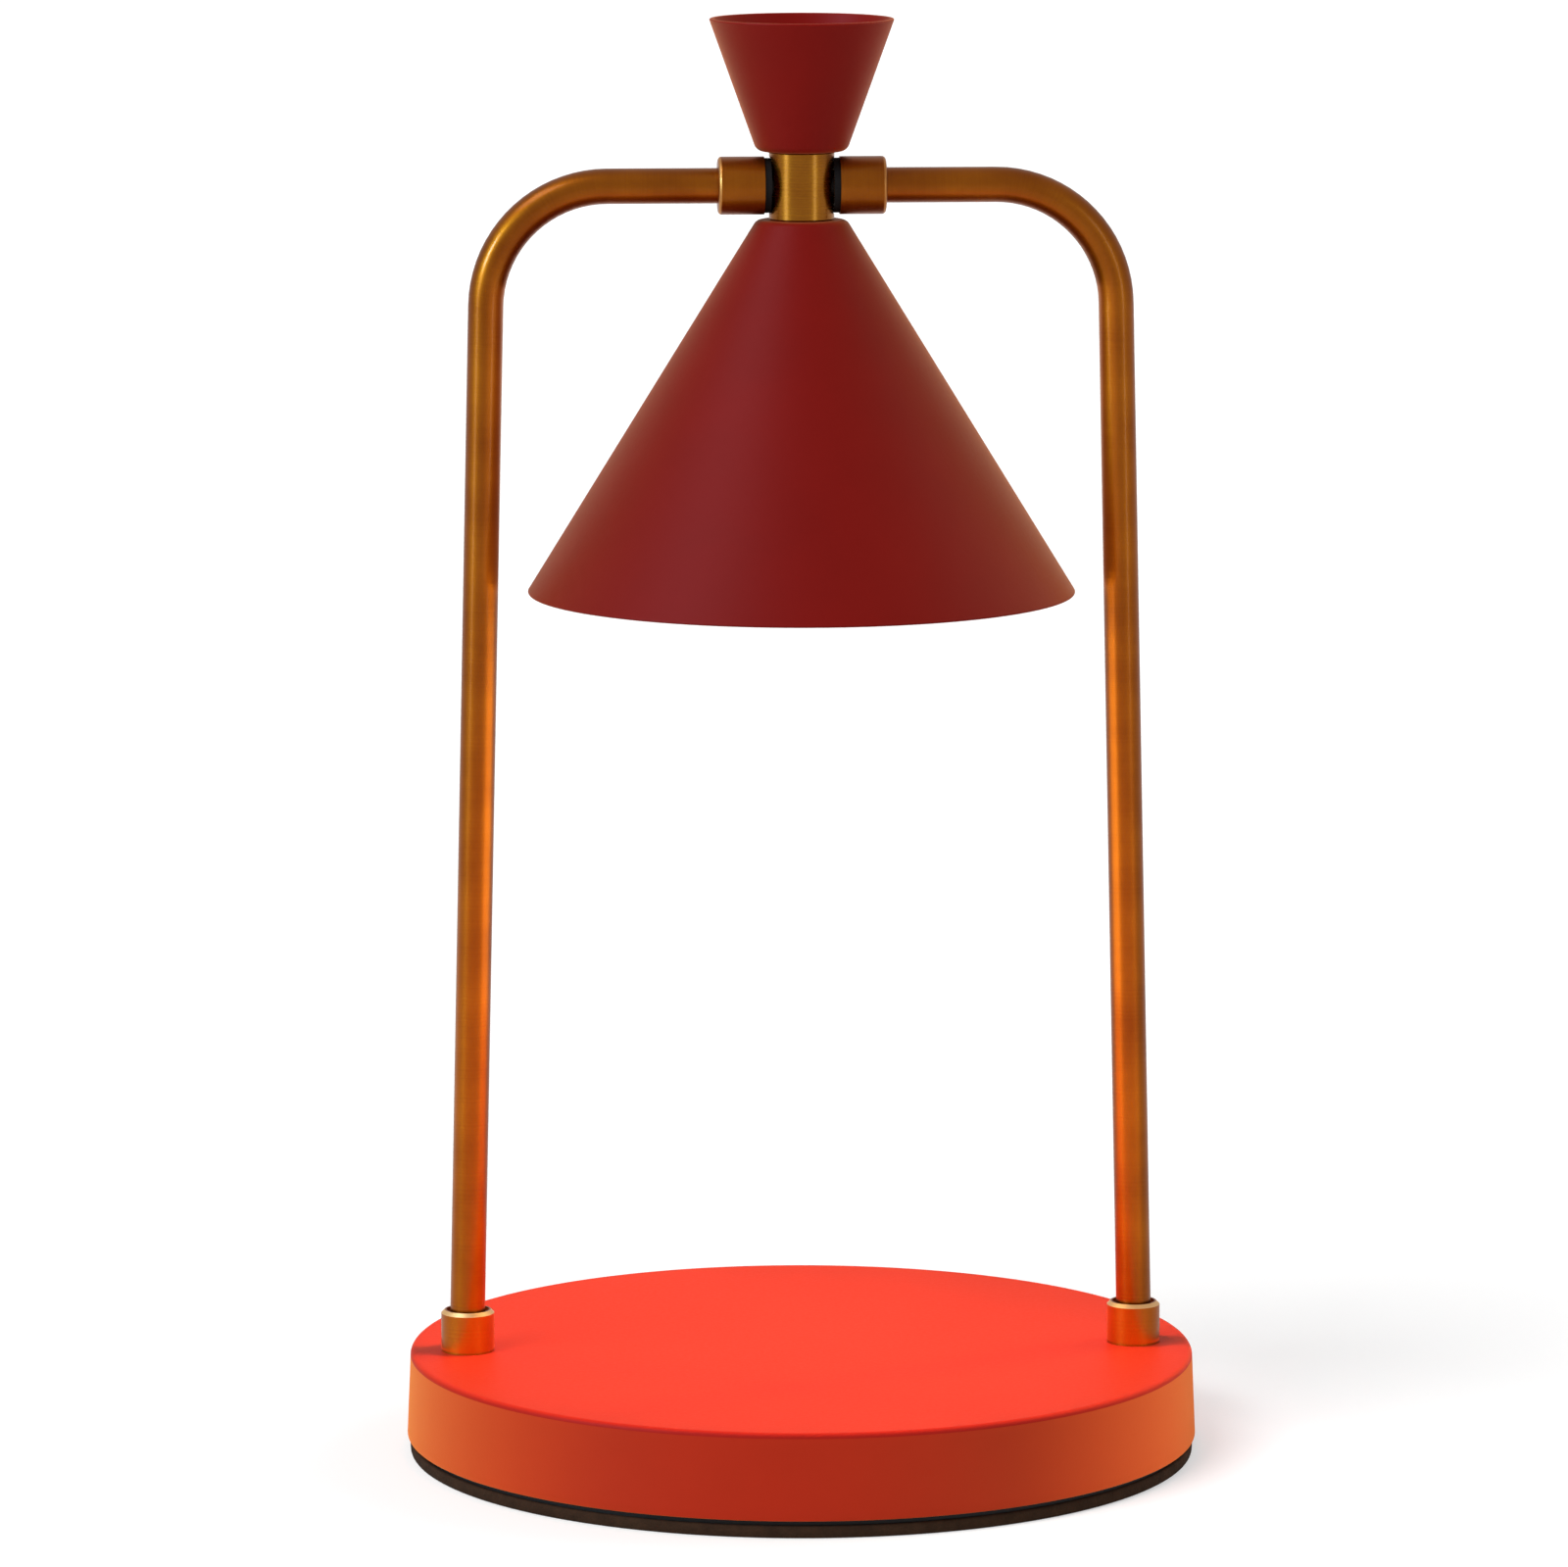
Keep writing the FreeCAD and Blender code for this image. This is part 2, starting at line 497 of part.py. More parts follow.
def make_base_cover():
    body = new_body("base_cover")
    lip_top = f"({COVER_TOP} + Sizes.cover_lip_height)"
    rib_in = f"({RIB_RING_OUT} - Sizes.rib_width)"
    spigot = "(Sizes.weight_bore_radius - Sizes.slip_gap)"
    spigot_top = f"({WEIGHT_UNDER} + Sizes.weight_thickness / 2)"
    turn(
        body,
        (
            ("0", "Sizes.pad_height"),
            (COVER_RADIUS, "Sizes.pad_height"),
            (COVER_RADIUS, lip_top),
            (f"{COVER_RADIUS} - Sizes.cover_lip_width", lip_top),
            (f"{COVER_RADIUS} - Sizes.cover_lip_width", COVER_TOP),
            (RIB_RING_OUT, COVER_TOP),
            (RIB_RING_OUT, WEIGHT_UNDER),
            (rib_in, WEIGHT_UNDER),
            (rib_in, COVER_TOP),
            (spigot, COVER_TOP),
            (spigot, spigot_top),
            (f"{spigot} - Sizes.rib_width", spigot_top),
            (f"{spigot} - Sizes.rib_width", COVER_TOP),
            ("0", COVER_TOP),
        ),
    )
    spoke = new_sketch(body, "XY_Plane", COVER_TOP)
    draw_box(
        spoke,
        f"{spigot} - Sizes.rib_width / 2",
        "-Sizes.rib_width / 2",
        f"{rib_in} + Sizes.rib_width / 2",
        "Sizes.rib_width / 2",
    )
    repeat_round(body, [pad(body, spoke, "Sizes.spoke_height")], SPOKES)
    saddle = new_sketch(body, "XY_Plane", COVER_TOP)
    draw_clamp_box(saddle)
    pad(body, saddle, f"{CORD_LEVEL} - {COVER_TOP}")
    cord_groove = new_sketch(body, "XZ_Plane", f"-{CLAMP_NEAR}")
    draw_circle(cord_groove, "0", CORD_LEVEL, "Sizes.cord_radius")
    cut(body, cord_groove, along_normal=False)
    inlet_gap = new_sketch(body, "XY_Plane", COVER_TOP)
    half_gap = "(Sizes.grommet_flange_radius + Sizes.slip_gap)"
    lip_inside = f"({CLAMP_FAR} + Sizes.slip_gap)"
    draw_box(inlet_gap, f"-{half_gap}", lip_inside, half_gap, f"{COVER_RADIUS} + Sizes.slip_gap")
    cut(body, inlet_gap, "Sizes.cover_lip_height")
    clamp_holes = new_sketch(body, "XY_Plane", CORD_LEVEL)
    draw_clamp_holes(clamp_holes)
    cut(body, clamp_holes, "Sizes.small_screw_length", along_normal=False)
    block_hole = new_sketch(body, "XY_Plane", COVER_TOP)
    draw_circle(block_hole, BLOCK_MIDDLE, "0", SMALL_SCREW_HOLE)
    cut(body, block_hole, "Sizes.cover_thickness", along_normal=False)
    screw_hole = new_sketch(body, "XY_Plane", "Sizes.pad_height")
    draw_circle(screw_hole, STANDOFF_ACROSS, STANDOFF_ACROSS, "Sizes.cover_screw_radius + Sizes.slip_gap")
    repeat_round(body, [cut(body, screw_hole, "Sizes.cover_thickness")], STANDOFFS)


def make_base_pad():
    body = ring("base_pad", "0", PAD_RADIUS, "0", "Sizes.pad_height")
    hole = new_sketch(body, "XY_Plane")
    draw_circle(hole, STANDOFF_ACROSS, STANDOFF_ACROSS, "Sizes.pad_hole_radius")
    repeat_round(body, [cut(body, hole, "Sizes.pad_height")], STANDOFFS)


def make_base_weight():
    body = ring("base_weight", "Sizes.weight_bore_radius", WEIGHT_RADIUS, WEIGHT_UNDER, SHELL_UNDER)
    rims = [(WEIGHT_RADIUS, ("0", "0", level)) for level in (WEIGHT_UNDER, SHELL_UNDER)]
    round_rings(body, "Sizes.weight_chamfer", rims, "Chamfer")
    notch = new_sketch(body, "XY_Plane", WEIGHT_UNDER)
    side = "(Sizes.block_width / 2 + Sizes.notch_gap)"
    inner_end = f"(Sizes.notch_gap - {BLOCK_INNER})"
    draw_box(notch, f"-{WEIGHT_RADIUS} - Sizes.slip_gap", f"-{side}", inner_end, side)
    cut(body, notch, "Sizes.weight_thickness")


def make_standoffs():
    body = new_body("cover_standoffs")
    post = new_sketch(body, "XY_Plane", COVER_TOP)
    draw_circle(post, STANDOFF_ACROSS, STANDOFF_ACROSS, "Sizes.standoff_radius")
    draw_circle(post, STANDOFF_ACROSS, STANDOFF_ACROSS, "Sizes.cover_screw_radius + Sizes.thread_gap")
    repeat_round(body, [pad(body, post, f"{SHELL_UNDER} - {COVER_TOP}")], STANDOFFS)


def make_cover_screws():
    body = new_body("cover_screws")
    features = screw(
        body,
        STANDOFF_ACROSS,
        STANDOFF_ACROSS,
        "Sizes.cover_screw_radius",
        "Sizes.cover_screw_head_radius",
        "Sizes.cover_screw_head_height",
        "Sizes.cover_screw_length",
        "Sizes.pad_height",
        head_down=True,
    )
    repeat_round(body, features, STANDOFFS)


def make_cord_inlet():
    """Grommet with two flanges in the rear wall. It is turned about Z, then laid along +Y."""
    body = new_body("cord_grommet")
    flange = "Sizes.grommet_flange_radius"
    # the flanges' flat faces clear the round, leaning wall
    seat_out = f"(Sizes.base_radius + {WALL_DRAFT} * ({BASE_TOP} - {CORD_LEVEL} + {flange}))"
    wall_in = f"(Sizes.base_radius + {WALL_DRAFT} * ({BASE_TOP} - {CORD_LEVEL} - {flange}))"
    seat_in = f"(sqrt(pow({wall_in} - Sizes.shell_skin; 2) - pow({flange}; 2)))"
    neck = "Sizes.grommet_neck_radius"
    turn(
        body,
        (
            ("Sizes.cord_radius", f"{seat_in} - Sizes.grommet_flange"),
            (flange, f"{seat_in} - Sizes.grommet_flange"),
            (flange, seat_in),
            (neck, seat_in),
            (neck, seat_out),
            (flange, seat_out),
            (f"{flange} - Sizes.grommet_flange / 2", f"{seat_out} + Sizes.grommet_flange"),
            ("Sizes.cord_radius", f"{seat_out} + Sizes.grommet_flange"),
        ),
    )
    body.Placement = Placement(Vector(0, 0, 0), Rotation(Vector(1, 0, 0), -90))
    put(body, z=CORD_LEVEL)


def make_cord_clamp():
    body = new_body("cord_clamp")
    bar = new_sketch(body, "XY_Plane", CORD_LEVEL)
    draw_clamp_box(bar)
    draw_clamp_holes(bar)
    pad(body, bar, "Sizes.clamp_bar_height")
    groove = new_sketch(body, "XZ_Plane")
    draw_circle(groove, "0", CORD_LEVEL, "Sizes.cord_radius")
    cut(body, groove, along_normal=False)
    screws = new_body("cord_clamp_screws")
    for side in ("-", ""):
        screw(
            screws,
            f"{side}Sizes.clamp_screw_spacing / 2",
            CLAMP_REACH,
            "Sizes.small_screw_radius",
            "Sizes.small_head_radius",
            "Sizes.small_head_height",
            "Sizes.small_screw_length",
            f"{CORD_LEVEL} + Sizes.clamp_bar_height",
            head_down=False,
        )


def make_terminal_block():
    body = new_body("terminal_block")
    base = new_sketch(body, "XY_Plane", COVER_TOP)
    draw_box(base, f"-{BLOCK_OUTER}", "-Sizes.block_width / 2", f"-{BLOCK_INNER}", "Sizes.block_width / 2")
    draw_circle(base, BLOCK_MIDDLE, "0", SMALL_SCREW_HOLE)
    pad(body, base, "Sizes.block_height")
    # two wire ways, each with a clamping screw's well over it
    wire_way = new_sketch(body, "YZ_Plane", f"-{BLOCK_OUTER}")
    wells = new_sketch(body, "XY_Plane", f"{COVER_TOP} + Sizes.block_height")
    for side in ("-", ""):
        across = f"{side}Sizes.wire_way_reach"
        draw_circle(wire_way, across, WIRE_LEVEL, "Sizes.lead_radius")
        draw_circle(wells, BLOCK_MIDDLE, across, "Sizes.small_head_radius - Sizes.slip_gap")
    cut(body, wire_way, "Sizes.block_length")
    cut(body, wells, "Sizes.block_height / 2", along_normal=False)
    fixing = new_body("terminal_screw")
    screw(
        fixing,
        BLOCK_MIDDLE,
        "0",
        "Sizes.small_screw_radius",
        "Sizes.small_head_radius",
        "Sizes.small_head_height",
        "Sizes.block_height + Sizes.cover_thickness",
        f"{COVER_TOP} + Sizes.block_height",
        head_down=False,
    )


def arm_corners(start):
    """The right arm's centre line in the XZ plane: up the leg, round the bend and in to the pivot."""
    lean = "Sizes.arm_lean"
    small = "Sizes.leg_bend_radius"
    large = "Sizes.arm_bend_radius"
    leg_foot = f"({FOOT_BORE_TOP} + Sizes.leg_start)"
    leg_x = f"({ARM_REACH} - {small} * (1 - cos({lean})))"
    leg_z = f"({leg_foot} + {small} * sin({lean}))"
    bend_z = f"(Sizes.pivot_height - {large} * (1 - sin({lean})))"
    bend_x = f"({leg_x} - ({bend_z} - {leg_z}) * tan({lean}))"
    return (
        *start,
        (ARM_REACH, leg_foot, small),
        (leg_x, leg_z),
        (bend_x, bend_z, large),
        (f"{bend_x} - {large} * cos({lean})", "Sizes.pivot_height"),
    )


def sweep_pipe(body, profile, path):
    doc.recompute()
    pipe = body.newObject("PartDesign::AdditivePipe", f"{body.Name}_pipe")
    pipe.Profile = profile
    pipe.Spine = (path, [f"Edge{index}" for index in range(1, len(path.Shape.Edges) + 1)])
    return pipe


def face_left(body):
    """Turns a right-hand piece half a turn about the lamp's axis."""
    body.Placement = Placement(Vector(0, 0, 0), Rotation(Vector(0, 0, 1), 180))


def make_arm(side):
    body = new_body(f"arm_{side}")
    path = new_sketch(body, "XZ_Plane")
    foot = (ARM_REACH, ARM_END)
    draw_outline(path, (*arm_corners([foot]), (TUBE_END, "Sizes.pivot_height")), closed=False)
    section = new_sketch(body, "XY_Plane", ARM_END)
    draw_circle(section, ARM_REACH, "0", "Sizes.tube_radius")
    draw_circle(section, ARM_REACH, "0", "Sizes.tube_radius - Sizes.tube_wall")
    sweep_pipe(body, section, path)
    if side == "left":
        face_left(body)


def make_foot_collar(side):
    body = new_body(f"foot_collar_{side}")
    top = "Sizes.foot_collar_height"
    chamfer = "Sizes.foot_collar_chamfer"
    recess = f"(Sizes.foot_collar_radius - {chamfer} - Sizes.foot_lip)"
    turn(
        body,
        (
            (TUBE_HOLE, "0"),
            ("Sizes.foot_collar_radius", "0"),
            ("Sizes.foot_collar_radius", f"{top} - {chamfer}"),
            (f"Sizes.foot_collar_radius - {chamfer}", top),
            (recess, top),
            (recess, f"{top} - Sizes.foot_recess_depth"),
            (TUBE_HOLE, f"{top} - Sizes.foot_recess_depth"),
        ),
    )
    put(body, x=f"-{ARM_REACH}" if side == "left" else ARM_REACH, z=BASE_TOP)


def make_foot_fixings():
    washers = new_body("foot_washers")
    sketch = new_sketch(washers, "XY_Plane", WASHER_UNDER)
    draw_circle(sketch, ARM_REACH, "0", "Sizes.foot_washer_radius")
    draw_circle(sketch, ARM_REACH, "0", "Sizes.tube_radius + Sizes.slip_gap")
    repeat_round(washers, [pad(washers, sketch, "Sizes.foot_washer_thickness")], PAIR)
    nut(
        "foot_nuts",
        ARM_REACH,
        "Sizes.foot_nut_flats",
        "Sizes.foot_nut_height",
        FOOT_NUT_UNDER,
        TUBE_HOLE,
        copies=PAIR,
    )


def place_on_pivot(body, side):
    """Raises a piece of the tilt joint, drawn along +X from the hub's axis, to the pivot."""
    if side == "left":
        face_left(body)
    put(body, z="Sizes.pivot_height")


def make_pivot_collar(side):
    body = new_body(f"pivot_collar_{side}")
    stud_seat = "(Sizes.stud_radius + Sizes.thread_gap)"
    turn(
        body,
        (
            (COLLAR_INNER, stud_seat),
            (COLLAR_SOCKET, stud_seat),
            (COLLAR_SOCKET, TUBE_HOLE),
            (COLLAR_OUTER, TUBE_HOLE),
            (COLLAR_OUTER, "Sizes.pivot_collar_radius"),
            (COLLAR_INNER, "Sizes.pivot_collar_radius"),
        ),
        axis="H_Axis",
    )
    round_rings(body, "Sizes.pivot_collar_round", [("Sizes.pivot_collar_radius", (COLLAR_OUTER, "0", "0"))])
    grub_hole = new_sketch(body, "XZ_Plane")
    across = f"{COLLAR_OUTER} - Sizes.grub_inset"
    draw_circle(grub_hole, across, "0", "Sizes.grub_radius + Sizes.thread_gap")
    # the screw hides at the rear, which is the other way round on the turned left collar
    cut(body, grub_hole, "Sizes.pivot_collar_radius", along_normal=side == "left")
    place_on_pivot(body, side)


def make_grub_screws():
    body = new_body("collar_grub_screws")
    for sign in ("-", ""):
        sketch = new_sketch(body, "XZ_Plane", f"-{TUBE_HOLE}")
        draw_circle(sketch, f"{sign}({COLLAR_OUTER} - Sizes.grub_inset)", "0", "Sizes.grub_radius")
        pad(body, sketch, f"Sizes.pivot_collar_radius - {TUBE_HOLE} - Sizes.slip_gap", downward=True)
    put(body, z="Sizes.pivot_height")


def make_friction_washer(side):
    body = new_body(f"friction_washer_{side}")
    near = f"({HUB_FLAT} + Sizes.tilt_gap)"
    bore = "(Sizes.stud_radius + Sizes.thread_gap)"
    turn(
        body,
        (
            (near, bore),
            (COLLAR_INNER, bore),
            (COLLAR_INNER, "Sizes.washer_radius"),
            (near, "Sizes.washer_radius"),
        ),
        axis="H_Axis",
    )
    place_on_pivot(body, side)


def make_pivot_stud(side):
    """Hollow stud. The right one has a groove whose ends stop the tilt."""
    body = new_body(f"pivot_stud_{side}")
    turn(
        body,
        (
            (STUD_TIP, "Sizes.stud_bore_radius"),
            (COLLAR_SOCKET, "Sizes.stud_bore_radius"),
            (COLLAR_SOCKET, "Sizes.stud_radius"),
            (STUD_TIP, "Sizes.stud_radius"),
        ),
        axis="H_Axis",
    )
    if side == "right":
        half_width = "(Sizes.stop_screw_radius + Sizes.stop_groove_gap)"
        groove_floor = "(Sizes.stud_radius - Sizes.stop_groove_depth)"
        screw_angle = f"asin(Sizes.stop_screw_radius / {groove_floor}) / 1 deg"
        doc.recompute()
        before = body.Shape.Volume
        groove = turn(
            body,
            (
                (f"{STOP_SCREW_REACH} - {half_width}", groove_floor),
                (f"{STOP_SCREW_REACH} + {half_width}", groove_floor),
                (f"{STOP_SCREW_REACH} + {half_width}", "Sizes.stud_radius + Sizes.slip_gap"),
                (f"{STOP_SCREW_REACH} - {half_width}", "Sizes.stud_radius + Sizes.slip_gap"),
            ),
            axis="H_Axis",
            kind="Groove",
            role="XY_Plane",
            angle=f"2 * (Sizes.tilt_limit + Sizes.stop_slack + {screw_angle})",
        )
        groove.Midplane = True
        doc.recompute()
        if body.Shape.Volume > before - 1e-6:
            raise RuntimeError("the stop groove cuts nothing")
    place_on_pivot(body, side)


def make_hub():
    body = new_body("hub")
    half = "(Sizes.hub_height / 2)"
    grip = f"({half} - {NIPPLE_GRIP})"
    chamfer = "Sizes.hub_chamfer"
    turn(
        body,
        (
            (NIPPLE_HOLE, f"-{half}"),
            (f"Sizes.hub_radius - {chamfer}", f"-{half}"),
            ("Sizes.hub_radius", f"-{half} + {chamfer}"),
            ("Sizes.hub_radius", f"{half} - {chamfer}"),
            (f"Sizes.hub_radius - {chamfer}", half),
            (NIPPLE_HOLE, half),
            (NIPPLE_HOLE, grip),
            ("Sizes.hub_chamber_radius", grip),
            ("Sizes.hub_chamber_radius", f"-{grip}"),
            (NIPPLE_HOLE, f"-{grip}"),
        ),
    )
    bore = new_sketch(body, "YZ_Plane")
    draw_circle(bore, "0", "0", STUD_HOLE)
    cut(body, bore, "2 * (Sizes.hub_radius + Sizes.slip_gap)", both_ways=True)
    for sign, outward in (("", True), ("-", False)):
        spot_face = new_sketch(body, "YZ_Plane", f"{sign}{HUB_FLAT}")
        draw_circle(spot_face, "0", "0", "Sizes.washer_radius + Sizes.spot_gap")
        cut(body, spot_face, "Sizes.hub_radius", along_normal=outward)
    stop_hole = new_sketch(body, "XZ_Plane")
    draw_circle(stop_hole, STOP_SCREW_REACH, "0", "Sizes.stop_screw_radius + Sizes.thread_gap")
    cut(body, stop_hole, "Sizes.hub_radius", along_normal=False)
    put(body, z="Sizes.pivot_height")


def make_stop_screw():
    body = new_body("stop_screw")
    tip = "(Sizes.stud_radius - Sizes.stop_groove_depth + Sizes.stop_groove_gap)"
    far_side = f"({STOP_SCREW_REACH} + Sizes.stop_screw_radius)"
    mouth = f"sqrt(pow(Sizes.hub_radius; 2) - pow({far_side}; 2))"
    sketch = new_sketch(body, "XZ_Plane", f"-{tip}")
    draw_circle(sketch, STOP_SCREW_REACH, "0", "Sizes.stop_screw_radius")
    pad(body, sketch, f"{mouth} - {tip} + Sizes.slip_gap", downward=True)
    put(body, z="Sizes.pivot_height")


def cone_wall_across(slope, wall):
    """Level width of a leaning wall whose true thickness is wall."""
    return f"({wall} * sqrt(1 + pow({slope}; 2)))"


def round_rim(body, outside, across, level):
    """Rounds both edges of a thin rim."""
    rim = [(radius, ("0", "0", level)) for radius in (outside, f"{outside} - {across}")]
    round_rings(body, "Sizes.rim_round", rim)


def make_shade():
    body = new_body("shade")
    slope = "((Sizes.shade_rim_radius - Sizes.shade_neck_radius) / Sizes.shade_height)"
    wall = "Sizes.shade_wall"
    across = cone_wall_across(slope, wall)
    inner_top = f"(Sizes.shade_neck_radius - {across} + {slope} * {wall})"
    turn(
        body,
        (
            (NIPPLE_HOLE, f"{SHADE_TOP} - {wall}"),
            (inner_top, f"{SHADE_TOP} - {wall}"),
            (f"Sizes.shade_rim_radius - {across}", SHADE_RIM),
            ("Sizes.shade_rim_radius", SHADE_RIM),
            ("Sizes.shade_neck_radius", SHADE_TOP),
            (NIPPLE_HOLE, SHADE_TOP),
        ),
    )
    round_rings(body, "Sizes.shade_shoulder", [("Sizes.shade_neck_radius", ("0", "0", SHADE_TOP))])
    inner_ring = [(inner_top, ("0", "0", f"{SHADE_TOP} - {wall}"))]
    round_rings(body, "Sizes.shade_shoulder - Sizes.shade_wall", inner_ring)
    round_rim(body, "Sizes.shade_rim_radius", across, SHADE_RIM)


def make_top_cone():
    body = new_body("top_cone")
    slope = "((Sizes.cone_rim_radius - Sizes.cone_foot_radius) / Sizes.cone_height)"
    wall = "Sizes.cone_wall"
    across = cone_wall_across(slope, wall)
    inner_foot = f"(Sizes.cone_foot_radius - {across} + {slope} * {wall})"
    turn(
        body,
        (
            (NIPPLE_HOLE, CONE_FOOT),
            ("Sizes.cone_foot_radius", CONE_FOOT),
            ("Sizes.cone_rim_radius", CONE_RIM),
            (f"Sizes.cone_rim_radius - {across}", CONE_RIM),
            (inner_foot, f"{CONE_FOOT} + {wall}"),
            (NIPPLE_HOLE, f"{CONE_FOOT} + {wall}"),
        ),
    )
    round_rings(body, "Sizes.cone_shoulder", [("Sizes.cone_foot_radius", ("0", "0", CONE_FOOT))])
    round_rim(body, "Sizes.cone_rim_radius", across, CONE_RIM)


def make_nipples_and_nuts():
    bore = "Sizes.nipple_bore_radius"
    ring("lower_nipple", bore, "Sizes.nipple_radius", LOWER_NIPPLE_END, f"{SHADE_TOP} + {NIPPLE_GRIP}")
    ring("upper_nipple", bore, "Sizes.nipple_radius", f"{CONE_FOOT} - {NIPPLE_GRIP}", UPPER_NIPPLE_END)
    washer = "Sizes.lock_washer_radius"
    ring("shade_washer", NIPPLE_HOLE, washer, SHADE_NUT_TOP, f"{SHADE_TOP} - Sizes.shade_wall")
    ring("top_washer", NIPPLE_HOLE, washer, TOP_WASHER_UNDER, TOP_NUT_UNDER)
    nut("shade_nut", "0", "Sizes.nut_flats", "Sizes.shade_nut_height", BRACKET_TOP, NIPPLE_HOLE)
    bracket_nut_under = f"{BRACKET_NUT_TOP} - Sizes.bracket_nut_height"
    nut("bracket_nut", "0", "Sizes.nut_flats", "Sizes.bracket_nut_height", bracket_nut_under, NIPPLE_HOLE)
    nut("top_nut", "0", "Sizes.nut_flats", "Sizes.top_nut_height", TOP_NUT_UNDER, NIPPLE_HOLE)


def make_holder_bracket():
    """Sheet bent to a hat: a bridge on the nipple, two legs and two feet on the lampholder."""
    body = new_body("holder_bracket")
    sheet_in = "Sizes.bracket_sheet"
    span = BRACKET_SPAN
    foot = f"({span} + Sizes.bracket_foot)"
    sketch = new_sketch(body, "XZ_Plane", "-Sizes.bracket_width / 2")
    draw_outline(
        sketch,
        (
            (f"-{span}", BRACKET_TOP),
            (f"-{span}", f"{HOLDER_TOP} + {sheet_in}"),
            (f"-{foot}", f"{HOLDER_TOP} + {sheet_in}"),
            (f"-{foot}", HOLDER_TOP),
            (f"-{span} + {sheet_in}", HOLDER_TOP),
            (f"-{span} + {sheet_in}", BRACKET_NUT_TOP),
            (f"{span} - {sheet_in}", BRACKET_NUT_TOP),
            (f"{span} - {sheet_in}", HOLDER_TOP),
            (foot, HOLDER_TOP),
            (foot, f"{HOLDER_TOP} + {sheet_in}"),
            (span, f"{HOLDER_TOP} + {sheet_in}"),
            (span, BRACKET_TOP),
        ),
    )
    pad(body, sketch, "Sizes.bracket_width")
    hole = new_sketch(body, "XY_Plane", BRACKET_TOP)
    draw_circle(hole, "0", "0", NIPPLE_HOLE)
    cut(body, hole, "2 * Sizes.bracket_sheet", along_normal=False)
    feet = new_sketch(body, "XY_Plane", HOLDER_TOP)
    for side in ("-", ""):
        draw_circle(feet, f"{side}{HOLDER_SCREW_REACH}", "0", SMALL_SCREW_HOLE)
    cut(body, feet, "Sizes.bracket_sheet")


def pin_chamber_outline(sketch, radius):
    """Curved slot for one bulb pin: the locked place is on +X, the way in is turned on by the twist."""
    inner = f"({PIN_REACH} - {radius})"
    outer = f"({PIN_REACH} + {radius})"
    turned_x = "cos(Sizes.bulb_twist)"
    turned_y = "sin(Sizes.bulb_twist)"
    draw_outline(
        sketch,
        (
            (inner, "0", radius),
            (PIN_REACH, f"-{radius}", radius),
            (outer, "0", outer),
            (f"{outer} * {turned_x}", f"{outer} * {turned_y}", radius),
            (
                f"{PIN_REACH} * {turned_x} - {radius} * {turned_y}",
                f"{PIN_REACH} * {turned_y} + {radius} * {turned_x}",
                radius,
            ),
            (f"{inner} * {turned_x}", f"{inner} * {turned_y}", f"-{inner}"),
        ),
    )


def make_lampholder():
    body = new_body("lampholder")
    half = "(Sizes.holder_width / 2)"
    straight = f"({HOLDER_END} - {half})"
    outline = new_sketch(body, "XY_Plane", HOLDER_UNDER)
    draw_outline(
        outline,
        (
            (f"-{straight}", f"-{half}"),
            (straight, f"-{half}", half),
            (HOLDER_END, "0", half),
            (straight, half),
            (f"-{straight}", half, half),
            (f"-{HOLDER_END}", "0", half),
        ),
    )
    pad(body, outline, "Sizes.holder_height")
    chamber = new_sketch(body, "XY_Plane", CHAMBER_FLOOR)
    pin_chamber_outline(chamber, "(Sizes.pin_head_radius + Sizes.pin_gap)")
    room = cut(body, chamber, "Sizes.pin_head_height + 2 * Sizes.pin_gap + Sizes.contact_thickness")
    neck_slot = new_sketch(body, "XY_Plane", HOLDER_UNDER)
    pin_chamber_outline(neck_slot, "(Sizes.pin_neck_radius + Sizes.pin_gap)")
    slot = cut(body, neck_slot, "Sizes.holder_floor + Sizes.pin_gap")
    way_in = new_sketch(body, "XY_Plane", HOLDER_UNDER)
    draw_circle(
        way_in,
        f"{PIN_REACH} * cos(Sizes.bulb_twist)",
        f"{PIN_REACH} * sin(Sizes.bulb_twist)",
        "Sizes.pin_head_radius + Sizes.pin_gap",
    )
    entry = cut(body, way_in, "Sizes.holder_floor + Sizes.pin_gap")
    repeat_round(body, [room, slot, entry], PAIR)
    well = new_sketch(body, "XY_Plane", HOLDER_TOP)
    draw_circle(well, "0", "0", "Sizes.wire_well_radius")
    cut(body, well, "Sizes.wire_well_depth", along_normal=False)
    screw_holes = new_sketch(body, "XY_Plane", HOLDER_TOP)
    for side in ("-", ""):
        draw_circle(screw_holes, f"{side}{HOLDER_SCREW_REACH}", "0", SMALL_SCREW_HOLE)
    cut(body, screw_holes, "Sizes.small_screw_length", along_normal=False)


def make_holder_fixings():
    screws = new_body("holder_screws")
    for side in ("-", ""):
        screw(
            screws,
            f"{side}{HOLDER_SCREW_REACH}",
            "0",
            "Sizes.small_screw_radius",
            HOLDER_HEAD,
            "Sizes.small_head_height",
            "Sizes.small_screw_length",
            f"{HOLDER_TOP} + Sizes.bracket_sheet",
            head_down=False,
        )
    contacts = new_body("holder_contacts")
    strip = new_sketch(contacts, "XY_Plane", f"{PIN_TOP} + Sizes.pin_gap")
    draw_circle(strip, PIN_REACH, "0", "Sizes.pin_head_radius")
    repeat_round(contacts, [pad(contacts, strip, "Sizes.contact_thickness")], PAIR)


